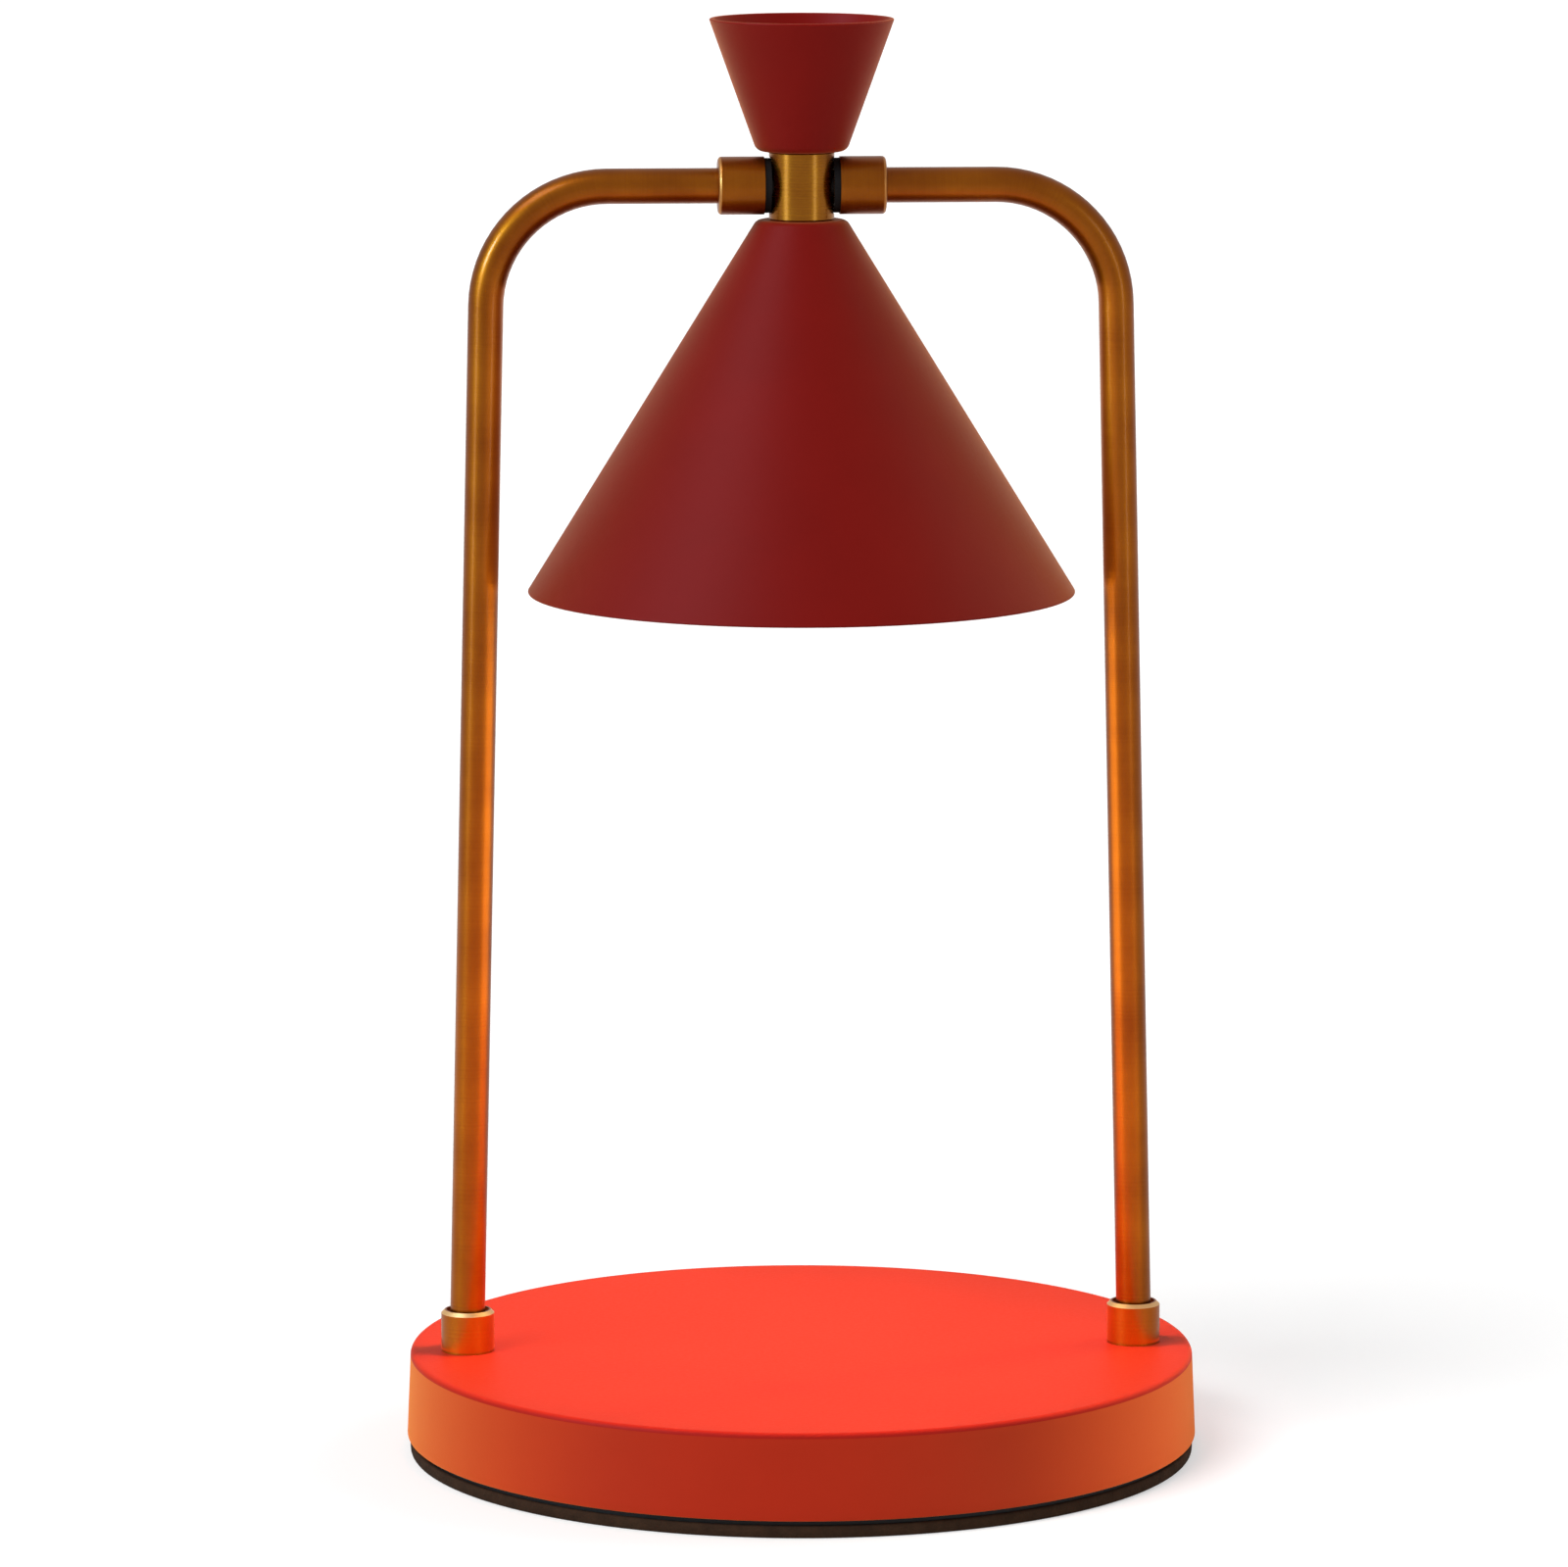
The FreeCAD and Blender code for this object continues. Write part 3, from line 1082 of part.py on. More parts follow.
def make_bulb():
    pins = new_body("bulb_pins")
    neck = new_sketch(pins, "XY_Plane", BULB_TOP)
    draw_circle(neck, PIN_REACH, "0", "Sizes.pin_neck_radius")
    head = new_sketch(pins, "XY_Plane", PIN_SHOULDER)
    draw_circle(head, PIN_REACH, "0", "Sizes.pin_head_radius")
    features = [pad(pins, neck, f"{PIN_SHOULDER} - {BULB_TOP}"), pad(pins, head, "Sizes.pin_head_height")]
    repeat_round(pins, features, PAIR)

    cap = new_body("bulb_base")
    turn(
        cap,
        (
            ("0", BULB_WAIST),
            ("Sizes.bulb_waist_radius", BULB_WAIST),
            ("Sizes.bulb_waist_radius", f"{BULB_WAIST} + Sizes.bulb_shoulder_height"),
            ("Sizes.bulb_neck_radius", f"{BULB_TOP} - Sizes.bulb_shoulder_height"),
            ("Sizes.bulb_neck_radius", BULB_TOP),
            ("0", BULB_TOP),
        ),
    )

    reflector = new_body("bulb_reflector")
    glass = "Sizes.bulb_glass"
    inner_sweep = f"(Sizes.reflector_sweep - {glass})"
    turn(
        reflector,
        (
            ("Sizes.capsule_radius + Sizes.slip_gap", f"{BULB_WAIST} - {glass}"),
            (f"Sizes.bulb_waist_radius - {glass}", f"{BULB_WAIST} - {glass}", f"-{inner_sweep}"),
            (f"Sizes.bulb_rim_radius - {glass}", BULB_RIM_TOP),
            (f"Sizes.bulb_rim_radius - {glass}", BULB_FACE),
            ("Sizes.bulb_rim_radius", BULB_FACE),
            ("Sizes.bulb_rim_radius", BULB_RIM_TOP, "Sizes.reflector_sweep"),
            ("Sizes.bulb_waist_radius", BULB_WAIST),
            ("Sizes.capsule_radius + Sizes.slip_gap", BULB_WAIST),
        ),
    )
    lens_radius = f"Sizes.bulb_rim_radius - {glass} - Sizes.thread_gap"
    lens_under = f"{BULB_FACE} + {glass} / 2"
    ring("bulb_lens", "0", lens_radius, lens_under, f"{lens_under} + {glass}")

    capsule = new_body("bulb_capsule")
    tip = f"({BULB_WAIST} - Sizes.capsule_height)"
    turn(
        capsule,
        (
            ("0", tip),
            ("Sizes.capsule_tip_radius", tip),
            ("Sizes.capsule_radius", f"{tip} + Sizes.capsule_radius"),
            ("Sizes.capsule_radius", BULB_WAIST),
            ("0", BULB_WAIST),
        ),
    )


def make_leads():
    """One lead runs from the terminal block up the left arm, the other from the hub to the lampholder."""
    bend = f"({ARM_END} - {WIRE_LEVEL})"
    arm_lead = new_body("arm_lead")
    path = new_sketch(arm_lead, "XZ_Plane")
    start = (
        (BLOCK_OUTER, WIRE_LEVEL),
        (f"{ARM_REACH} - {bend}", WIRE_LEVEL, bend),
        (ARM_REACH, ARM_END),
    )
    draw_outline(path, (*arm_corners(start), (LEAD_END, "Sizes.pivot_height")), closed=False)
    section = new_sketch(arm_lead, "YZ_Plane", BLOCK_OUTER)
    draw_circle(section, "0", WIRE_LEVEL, "Sizes.lead_radius")
    sweep_pipe(arm_lead, section, path)
    face_left(arm_lead)

    turn_radius = f"({HEAD_LEAD_END} - Sizes.lead_straight)"
    head_lead = new_body("head_lead")
    path = new_sketch(head_lead, "XZ_Plane")
    corners = (
        (f"-{HEAD_LEAD_END}", "Sizes.pivot_height"),
        (f"-{turn_radius}", "Sizes.pivot_height", f"-{turn_radius}"),
        ("0", f"Sizes.pivot_height - {turn_radius}"),
        ("0", f"{HOLDER_TOP} - Sizes.wire_well_depth + Sizes.end_gap"),
    )
    draw_outline(path, corners, closed=False)
    section = new_sketch(head_lead, "YZ_Plane", f"-{HEAD_LEAD_END}")
    draw_circle(section, "0", "Sizes.pivot_height", "Sizes.lead_radius")
    sweep_pipe(head_lead, section, path)


for maker in (
    make_base_shell,
    make_base_cover,
    make_base_pad,
    make_base_weight,
    make_standoffs,
    make_cover_screws,
    make_cord_inlet,
    make_cord_clamp,
    make_terminal_block,
    make_foot_fixings,
    make_grub_screws,
    make_hub,
    make_stop_screw,
    make_shade,
    make_top_cone,
    make_nipples_and_nuts,
    make_holder_bracket,
    make_lampholder,
    make_holder_fixings,
    make_bulb,
    make_leads,
):
    maker()
for side in ("left", "right"):
    make_arm(side)
    make_foot_collar(side)
    make_pivot_collar(side)
    make_friction_washer(side)
    make_pivot_stud(side)

doc.recompute()
for item in doc.Objects:
    if "Invalid" in item.State or "Error" in item.State:
        raise RuntimeError(f"{item.Name} failed: {item.State}")
os.makedirs("parts", exist_ok=True)
for part in parts:
    if part.Shape.isNull() or not part.Shape.isValid():
        raise RuntimeError(f"{part.Label} has no valid shape")
    part.Shape.exportStep(f"parts/{part.Label}.step")
    print(part.Label, len(part.Shape.Solids), round(part.Shape.Volume, 1))
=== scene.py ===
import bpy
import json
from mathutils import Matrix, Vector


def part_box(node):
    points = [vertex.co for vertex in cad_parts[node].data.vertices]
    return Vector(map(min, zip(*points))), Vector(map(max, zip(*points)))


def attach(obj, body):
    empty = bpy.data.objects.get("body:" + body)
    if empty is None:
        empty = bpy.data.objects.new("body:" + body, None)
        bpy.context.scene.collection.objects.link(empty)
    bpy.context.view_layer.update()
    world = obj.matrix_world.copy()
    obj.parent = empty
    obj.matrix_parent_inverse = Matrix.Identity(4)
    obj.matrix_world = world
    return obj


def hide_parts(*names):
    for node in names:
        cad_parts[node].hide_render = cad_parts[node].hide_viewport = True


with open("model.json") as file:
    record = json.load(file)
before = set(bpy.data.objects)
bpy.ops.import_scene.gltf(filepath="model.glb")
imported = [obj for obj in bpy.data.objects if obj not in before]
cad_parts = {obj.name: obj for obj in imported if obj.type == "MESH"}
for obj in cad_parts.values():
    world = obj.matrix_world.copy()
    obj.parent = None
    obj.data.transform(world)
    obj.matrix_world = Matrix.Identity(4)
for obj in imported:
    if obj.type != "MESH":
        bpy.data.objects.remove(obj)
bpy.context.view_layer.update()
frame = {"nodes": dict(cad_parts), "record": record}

import bmesh
import bpy
import json
import math
from mathutils import Matrix, Vector

# Candle warmer lamp: a red base, two brass-finish arms and a red cone head that tilts between them.
# Metres throughout, +Z up, the arms stand along X and the lamp looks towards -Y.

mm = 0.001
nodes = frame["nodes"]
scene = bpy.context.scene
# the arms in millimetres and degrees: where they stand, their bend, the tilt axis between them, their lean
arms = {"reach": 76.85, "bend": 27.5, "pivotLevel": 291.4, "lean": 1.33}


def linearColour(hexCode, alpha=1.0):  # sRGB hex to the linear values that shaders take
    channels = [int(hexCode[start:start + 2], 16) / 255 for start in (1, 3, 5)]
    linear = [c / 12.92 if c <= 0.04045 else ((c + 0.055) / 1.055) ** 2.4 for c in channels]
    return (*linear, alpha)


def addNode(tree, kind, settings=None, links=None):  # settings: attributes or unlinked inputs
    node = tree.nodes.new("ShaderNode" + kind)
    for key, value in (settings or {}).items():
        if isinstance(key, str) and hasattr(node, key):
            setattr(node, key, value)
        else:
            node.inputs[key].default_value = value
    for key, socket in (links or {}).items():
        tree.links.new(socket, node.inputs[key])
    return node


def startMaterial(name, shaderSettings):  # a Principled shader with the constant values on its own sockets
    material = bpy.data.materials.new(name)
    material.use_nodes = True
    tree = material.node_tree
    tree.nodes.clear()
    shader = addNode(tree, "BsdfPrincipled", shaderSettings)
    addNode(tree, "OutputMaterial", links={"Surface": shader.outputs["BSDF"]})
    place = addNode(tree, "TexCoord").outputs["Object"]
    return material, tree, shader, place


def driveShader(tree, shader, finish, tone, texture):
    # the colour wanders with the tone, and roughness and height with the texture
    colour = addNode(
        tree,
        "Mix",
        {"data_type": "RGBA", 6: linearColour(finish["dark"]), 7: linearColour(finish["light"])},
        {0: tone},
    )
    roughness = addNode(
        tree,
        "MapRange",
        {"To Min": finish["roughness"][0], "To Max": finish["roughness"][1]},
        {"Value": texture},
    )
    bump = addNode(
        tree,
        "Bump",
        {"Strength": finish["bumpStrength"], "Distance": finish["bumpDepth"] * mm},
        {"Height": texture},
    )
    tree.links.new(colour.outputs[2], shader.inputs["Base Color"])
    tree.links.new(roughness.outputs["Result"], shader.inputs["Roughness"])
    tree.links.new(bump.outputs["Normal"], shader.inputs["Normal"])


def addGrain(tree, shader, place, grain):  # a cloudy tone and a fine texture, their sizes in millimetres
    cloudScale, fineScale = 1 / (grain["cloudSize"] * mm), 1 / (grain["fineSize"] * mm)
    cloud = addNode(tree, "TexNoise", {"Scale": cloudScale, "Detail": 3.0}, {"Vector": place})
    fine = addNode(tree, "TexNoise", {"Scale": fineScale, "Detail": 2.0}, {"Vector": place})
    driveShader(tree, shader, grain, cloud.outputs["Fac"], fine.outputs["Fac"])


def makePowderCoat(name, grain):
    # Polyester powder coat baked on pressed steel: an even satin skin with a faint orange peel,
    # which goes warm and pale only where it is seen edge on; the warm sheen tint there is a painted
    # reflection of warm surroundings.
    material, tree, shader, place = startMaterial(name, {
        "IOR": 1.5,
        "Specular IOR Level": grain["gloss"],
        "Sheen Weight": grain["sheen"],
        "Sheen Roughness": grain["sheenRoughness"],
        "Sheen Tint": linearColour(grain["paintedReflectionTint"]),
    })
    addGrain(tree, shader, place, grain)
    return material


# one powder coat, painted in a different red on the shade, the cone, the base's wall and its top, as
# painted light and shade for how each part is lit; the shade's red is the darkest, as painted shade
shadeGrain = {
    "dark": "#6E0A07",
    "light": "#7C0D0A",
    "gloss": 0.07,
    "sheen": 0.5,
    "sheenRoughness": 0.42,
    "paintedReflectionTint": "#FFA868",
    "roughness": (0.44, 0.54),
    "cloudSize": 26.0,
    "fineSize": 0.9,
    "bumpStrength": 0.25,
    "bumpDepth": 0.05,
}
shadeCoat = makePowderCoat("powderCoatedSteelShade", shadeGrain)
# the cone's red is painted a little lighter than the shade's, as painted light for the light it takes from
# below
coneCoatPaintedLighter = makePowderCoat("powderCoatedSteelCone", {**shadeGrain, "dark": "#7A0B07", "light": "#8A0F0B"})
# the wall's red is painted lighter than the top's, as painted light for the light bounced onto the wall
baseGrain = {
    "dark": "#A81A12",
    "light": "#B61F15",
    "gloss": 0.03,
    "sheen": 1.0,
    "sheenRoughness": 0.56,
    "paintedReflectionTint": "#FFA854",
    "roughness": (0.48, 0.58),
    "cloudSize": 30.0,
    "fineSize": 0.9,
    "bumpStrength": 0.25,
    "bumpDepth": 0.05,
}
wallCoatPaintedLighter = makePowderCoat("powderCoatedSteelWall", baseGrain)
topCoat = makePowderCoat("powderCoatedSteelTop", {
    **baseGrain, "dark": "#A01812", "light": "#AC1D16", "sheen": 0.12, "gloss": 0.05,
})


def makeSatinBrass(name, finish, alongTube=False):
    # Brass plating brushed to a satin and lacquered brown: fine rings round each piece from the belt
    # or the lathe, so its highlights are long soft bands and never mirror sharp, and the clear lacquer
    # over them pales each band a little.
    material, tree, shader, place = startMaterial(name, {
        "Metallic": 1.0,
        "Coat Weight": finish["lacquer"],
        "Coat Roughness": finish["lacquerRoughness"],
    })
    axes = addNode(tree, "SeparateXYZ", links={0: place})
    if alongTube:
        # length along the bent tube: up the leg, round the bend and in along the level run
        side = addNode(tree, "Math", {"operation": "ABSOLUTE"}, {0: axes.outputs["X"]})
        slope = {"operation": "MULTIPLY_ADD", 1: finish["lean"], 2: -finish["bendReach"]}
        lean = addNode(tree, "Math", slope, {0: axes.outputs["Z"]})
        out = addNode(tree, "Math", {"operation": "ADD"}, {0: side.outputs[0], 1: lean.outputs[0]})
        start = {"operation": "SUBTRACT", 1: finish["bendHeight"]}
        rise = addNode(tree, "Math", start, {0: axes.outputs["Z"]})
        outside = addNode(tree, "Math", {"operation": "MAXIMUM", 1: 0.0}, {0: out.outputs[0]})
        above = addNode(tree, "Math", {"operation": "MAXIMUM", 1: 0.0}, {0: rise.outputs[0]})
        leg = addNode(tree, "Math", {"operation": "MINIMUM", 1: 0.0}, {0: rise.outputs[0]})
        run = addNode(tree, "Math", {"operation": "MINIMUM", 1: 0.0}, {0: out.outputs[0]})
        turn = addNode(tree, "Math", {"operation": "ARCTAN2"}, {0: above.outputs[0], 1: outside.outputs[0]})
        arc = {"operation": "MULTIPLY_ADD", 1: finish["bendRadius"]}
        bend = addNode(tree, "Math", arc, {0: turn.outputs[0], 2: leg.outputs[0]})
        length = addNode(tree, "Math", {"operation": "SUBTRACT"}, {0: bend.outputs[0], 1: run.outputs[0]})
        lines = addNode(tree, "CombineXYZ", links={"X": length.outputs[0]})
    else:
        lines = addNode(tree, "CombineXYZ", links={"X": axes.outputs[finish["turnedAbout"]]})
    hairScale, cloudScale = 1 / (finish["hairWidth"] * mm), 1 / (finish["cloudSize"] * mm)
    hair = addNode(tree, "TexNoise", {"Scale": hairScale, "Detail": 3.0}, {"Vector": lines.outputs[0]})
    cloud = addNode(tree, "TexNoise", {"Scale": cloudScale, "Detail": 4.0}, {"Vector": place})
    # the colour follows the clouds, with a share of the hairlines in it
    mixed = addNode(
        tree,
        "Math",
        {"operation": "MULTIPLY_ADD", 1: finish["hairShare"]},
        {0: hair.outputs["Fac"], 2: cloud.outputs["Fac"]},
    )
    low, high = finish["mixRange"]
    spread = addNode(tree, "MapRange", {"From Min": low, "From Max": high}, {"Value": mixed.outputs[0]})
    driveShader(tree, shader, finish, spread.outputs["Result"], hair.outputs["Fac"])
    return material


brassFinish = {
    "dark": "#7C3B04",
    "light": "#98520A",
    "lacquer": 0.13,
    "lacquerRoughness": 0.14,
    "roughness": (0.34, 0.44),
    "hairWidth": 0.5,
    "hairShare": 0.25,
    "mixRange": (0.35, 0.9),
    "bumpStrength": 1.0,
    "bumpDepth": 0.05,
    "cloudSize": 14.0,
    "turnedAbout": "Z",
    "lean": math.tan(math.radians(arms["lean"])),  # the legs lean in by this much for each metre of height
    "bendReach": (arms["reach"] - arms["bend"]) * mm,
    "bendHeight": (arms["pivotLevel"] - arms["bend"]) * mm,
    "bendRadius": arms["bend"] * mm,
}
tubeBrass = makeSatinBrass("brushedBrassTube", brassFinish, alongTube=True)
# the hub's brass is painted lighter and yellower than the tubes', as painted highlight for the paler bands
# it shows
hubBrass = makeSatinBrass("turnedBrassHub", {
    **brassFinish, "dark": "#7E440A", "light": "#9C6214", "roughness": (0.24, 0.3), "bumpStrength": 0.5,
})
collarBrass = makeSatinBrass("turnedBrassCollar", {**brassFinish, "turnedAbout": "X"})
# the foot collars' brass is painted lighter than the tubes', as painted light for the warm glow round the
# base that they mirror
footBrassPaintedLighter = makeSatinBrass("turnedBrassFoot", {**brassFinish, "dark": "#90480A", "light": "#AC5C12"})
# a pale painted highlight on the collars' chamfered lips, standing in for the light they catch from above
paintedHighlightEdge = {"dark": "#D8A468", "light": "#F0C48C", "roughness": (0.4, 0.5), "lacquer": 0.1}
highlightEdgeAcross = makeSatinBrass("paintedHighlightBrassAcross", {
    **brassFinish, **paintedHighlightEdge, "dark": "#A8682C", "light": "#C4864A", "turnedAbout": "X",
})
highlightEdgeRound = makeSatinBrass("paintedHighlightBrassRound", {**brassFinish, **paintedHighlightEdge})


def makePlain(name, shaderSettings, grain):
    material, tree, shader, place = startMaterial(name, shaderSettings)
    addGrain(tree, shader, place, grain)
    return material


# Closed-cell EVA foam, die cut: a dull grey-brown skin full of pinholes.
foam = makePlain("closedCellFoam", {"IOR": 1.45, "Specular IOR Level": 0.1}, {
    "dark": "#2A1D14", "light": "#443022", "roughness": (0.85, 1.0),
    "cloudSize": 3.0, "fineSize": 0.7, "bumpStrength": 0.9, "bumpDepth": 0.25,
})
# Pressed paper fibre, graphite filled: nearly black, with a dry dull edge.
fibreDisc = makePlain("graphiteFibreWasher", {"IOR": 1.5, "Specular IOR Level": 0.1}, {
    "dark": "#0E0A0A", "light": "#1C1614", "roughness": (0.55, 0.75),
    "cloudSize": 2.0, "fineSize": 0.35, "bumpStrength": 0.5, "bumpDepth": 0.08,
})
# Injection-moulded ABS with a spark-eroded texture.
blackMoulding = makePlain("texturedAbs", {"IOR": 1.53, "Specular IOR Level": 0.2}, {
    "dark": "#141313", "light": "#1E1C1B", "roughness": (0.45, 0.62),
    "cloudSize": 14.0, "fineSize": 0.5, "bumpStrength": 0.5, "bumpDepth": 0.08,
})
# Grey sand-cast iron, black-dipped: coarse grain and a dull tar skin.
castIron = makePlain("sandCastIron", {"Metallic": 0.6}, {
    "dark": "#2B2A29", "light": "#4A4846", "roughness": (0.6, 0.85),
    "cloudSize": 10.0, "fineSize": 1.2, "bumpStrength": 0.8, "bumpDepth": 0.3,
})
# Bright zinc plate on steel: pale, a little blue, with a soft cloudy gloss.
zincSteel = makePlain("zincPlatedSteel", {"Metallic": 1.0}, {
    "dark": "#A9ACB0", "light": "#C9C9C6", "roughness": (0.24, 0.42),
    "cloudSize": 5.0, "fineSize": 0.6, "bumpStrength": 0.12, "bumpDepth": 0.03,
})
# Turned steel with a hot black oxide and a film of grease: near black, with a soft blue-brown cast.
oxideSteel = makePlain("blackOxideSteel", {"Metallic": 1.0}, {
    "dark": "#15120F", "light": "#242020", "roughness": (0.4, 0.55),
    "cloudSize": 4.0, "fineSize": 0.5, "bumpStrength": 0.12, "bumpDepth": 0.02,
})
# Moulded PVC: soft black with a low sheen.
blackRubber = makePlain("mouldedPvc", {"IOR": 1.5, "Sheen Weight": 0.15}, {
    "dark": "#121111", "light": "#1D1B1A", "roughness": (0.5, 0.66),
    "cloudSize": 6.0, "fineSize": 0.4, "bumpStrength": 0.35, "bumpDepth": 0.06,
})
# Natural polyamide: a waxy off-white that lets a little light in.
polyamide = makePlain("naturalPolyamide", {
    "IOR": 1.53, "Subsurface Weight": 0.08, "Subsurface Scale": 2.0 * mm,
}, {
    "dark": "#CFCBBE", "light": "#DCD9CC", "roughness": (0.38, 0.5),
    "cloudSize": 8.0, "fineSize": 0.6, "bumpStrength": 0.2, "bumpDepth": 0.04,
})
# Unglazed steatite, pressed and fired: chalky cream with fine grit.
steatite = makePlain("pressedSteatite", {"IOR": 1.6}, {
    "dark": "#CFC5B0", "light": "#E0D8C6", "roughness": (0.55, 0.72),
    "cloudSize": 5.0, "fineSize": 0.35, "bumpStrength": 0.4, "bumpDepth": 0.06,
})
# Stamped spring brass: yellow, rolled smooth.
springBrass = makePlain("rolledSpringBrass", {"Metallic": 1.0}, {
    "dark": "#B08A3C", "light": "#D2AA55", "roughness": (0.22, 0.36),
    "cloudSize": 3.0, "fineSize": 0.4, "bumpStrength": 0.1, "bumpDepth": 0.02,
})
# Woven glass-fibre sleeve dipped in silicone.
leadSleeve = makePlain("siliconeGlassSleeve", {"IOR": 1.45, "Sheen Weight": 0.2}, {
    "dark": "#B4ADA2", "light": "#D2CCC2", "roughness": (0.6, 0.75),
    "cloudSize": 2.0, "fineSize": 0.4, "bumpStrength": 0.6, "bumpDepth": 0.08,
})
# Fired alumina of the bulb's cap, glazed thinly.
bulbCeramic = makePlain("glazedAlumina", {"IOR": 1.6, "Coat Weight": 0.3, "Coat Roughness": 0.15}, {
    "dark": "#D8D4CA", "light": "#E6E3DB", "roughness": (0.35, 0.5),
    "cloudSize": 6.0, "fineSize": 0.5, "bumpStrength": 0.2, "bumpDepth": 0.04,
})
# Vapour-deposited aluminium on pressed glass.
mirrorGlass = makePlain("aluminisedGlass", {"Metallic": 1.0}, {
    "dark": "#C9C6C0", "light": "#E2E0DA", "roughness": (0.06, 0.14),
    "cloudSize": 6.0, "fineSize": 1.0, "bumpStrength": 0.05, "bumpDepth": 0.02,
})
# The bowl's back: the same coat seen through its glass, greyer and softer than the mirror inside.
mirrorBack = makePlain("coatedGlassBack", {"Metallic": 0.85, "Coat Weight": 0.6, "Coat Roughness": 0.06}, {
    "dark": "#A19E99", "light": "#BAB7B1", "roughness": (0.3, 0.38),
    "cloudSize": 9.0, "fineSize": 4.0, "bumpStrength": 0.05, "bumpDepth": 0.03,
})
# Drawn tungsten at white heat: the coil is the lamp's own light.
tungsten = makePlain("hotTungstenWire", {
    "Metallic": 1.0, "Emission Color": linearColour("#FFC880"), "Emission Strength": 12.0,
}, {
    "dark": "#6A6258", "light": "#8A8074", "roughness": (0.3, 0.45),
    "cloudSize": 1.0, "fineSize": 0.2, "bumpStrength": 0.1, "bumpDepth": 0.01,
})
# Nickel plate on the bulb's pins.
pinNickel = makePlain("nickelPlatedSteel", {"Metallic": 1.0}, {
    "dark": "#B9B5AD", "light": "#D3CFC6", "roughness": (0.18, 0.3),
    "cloudSize": 2.0, "fineSize": 0.4, "bumpStrength": 0.08, "bumpDepth": 0.02,
})


def makeClearGlass(name, glow):  # glow: the ripples, and the light that the bulb leaves in the glass
    # Pressed borosilicate: clear, with slow ripples that break up what is seen through it.
    material, tree, shader, place = startMaterial(name, {
        "IOR": 1.47,
        "Roughness": 0.05,
        "Transmission Weight": 1.0,
        "Emission Color": linearColour(glow["colour"]),
        "Emission Strength": glow["strength"],
    })
    rippleScale = 1 / (glow["rippleSize"] * mm)
    ripple = addNode(tree, "TexNoise", {"Scale": rippleScale, "Detail": 1.0}, {"Vector": place})
    swell = {"Strength": 0.3, "Distance": glow["rippleDepth"] * mm}
    bump = addNode(tree, "Bump", swell, {"Height": ripple.outputs["Fac"]})
    tint = addNode(
        tree,
        "Mix",
        {"data_type": "RGBA", 6: linearColour(glow["dark"]), 7: linearColour(glow["light"])},
        {0: ripple.outputs["Fac"]},
    )
    tree.links.new(tint.outputs[2], shader.inputs["Base Color"])
    tree.links.new(bump.outputs["Normal"], shader.inputs["Normal"])
    return material


ripples = {"rippleSize": 1.6, "rippleDepth": 0.1, "dark": "#F4F1EA", "light": "#FFFFFF"}
lensGlass = makeClearGlass("pressedLensGlass", {**ripples, "colour": "#FFD9A0", "strength": 0.12})
capsuleGlass = makeClearGlass("fusedQuartz", {**ripples, "colour": "#FFD090", "strength": 0.5})
print("materials made")

finishes = {
    "base_shell": wallCoatPaintedLighter,
    "shade": shadeCoat,
    "top_cone": coneCoatPaintedLighter,
    "base_cover": blackMoulding,
    "base_pad": foam,
    "base_weight": castIron,
    "cover_standoffs": zincSteel,
    "cover_screws": zincSteel,
    "cord_grommet": blackRubber,
    "cord_clamp": blackMoulding,
    "cord_clamp_screws": zincSteel,
    "terminal_block": polyamide,
    "terminal_screw": zincSteel,
    "foot_washers": zincSteel,
    "foot_nuts": zincSteel,
    "arm_left": tubeBrass,
    "arm_right": tubeBrass,
    "foot_collar_left": footBrassPaintedLighter,
    "foot_collar_right": footBrassPaintedLighter,
    "pivot_collar_left": collarBrass,
    "pivot_collar_right": collarBrass,
    "hub": hubBrass,
    "collar_grub_screws": zincSteel,
    "stop_screw": zincSteel,
    "pivot_stud_left": oxideSteel,
    "pivot_stud_right": oxideSteel,
    "friction_washer_left": fibreDisc,
    "friction_washer_right": fibreDisc,
    "arm_lead": leadSleeve,
    "head_lead": leadSleeve,
    "lower_nipple": zincSteel,
    "upper_nipple": zincSteel,
    "shade_washer": zincSteel,
    "top_washer": zincSteel,
    "shade_nut": zincSteel,
    "bracket_nut": zincSteel,
    "top_nut": zincSteel,
    "holder_bracket": zincSteel,
    "holder_screws": zincSteel,
    "lampholder": steatite,
    "holder_contacts": springBrass,
    "bulb_pins": pinNickel,
    "bulb_base": bulbCeramic,
    "bulb_reflector": mirrorGlass,
    "bulb_lens": lensGlass,
    "bulb_capsule": capsuleGlass,
}
for name, material in finishes.items():
    nodes[name].data.materials.clear()
    nodes[name].data.materials.append(material)


def giveSecondFinish(name, material, belongs):  # a second slot for the faces of a node that belongs() picks
    mesh = nodes[name].data
    mesh.materials.append(material)
    picked = [face for face in mesh.polygons if belongs(face)]
    for face in picked:
        face.material_index = 1
    print(name, "second finish on", len(picked), "faces")


# a face is sloped or flat by its normal's share along the piece's axis; distances in millimetres
facing = {"slopedFrom": 0.3, "flatFrom": 0.9, "pivotLip": 18.0, "runningFace": 7.2}


def isSloped(share):
    return facing["slopedFrom"] < share < facing["flatFrom"]


def isPivotLip(face):
    return abs(face.center.x) > facing["pivotLip"] * mm and isSloped(abs(face.normal.x))


def isRunningFace(face):
    return abs(face.center.x) < facing["runningFace"] * mm and abs(face.normal.x) > facing["flatFrom"]


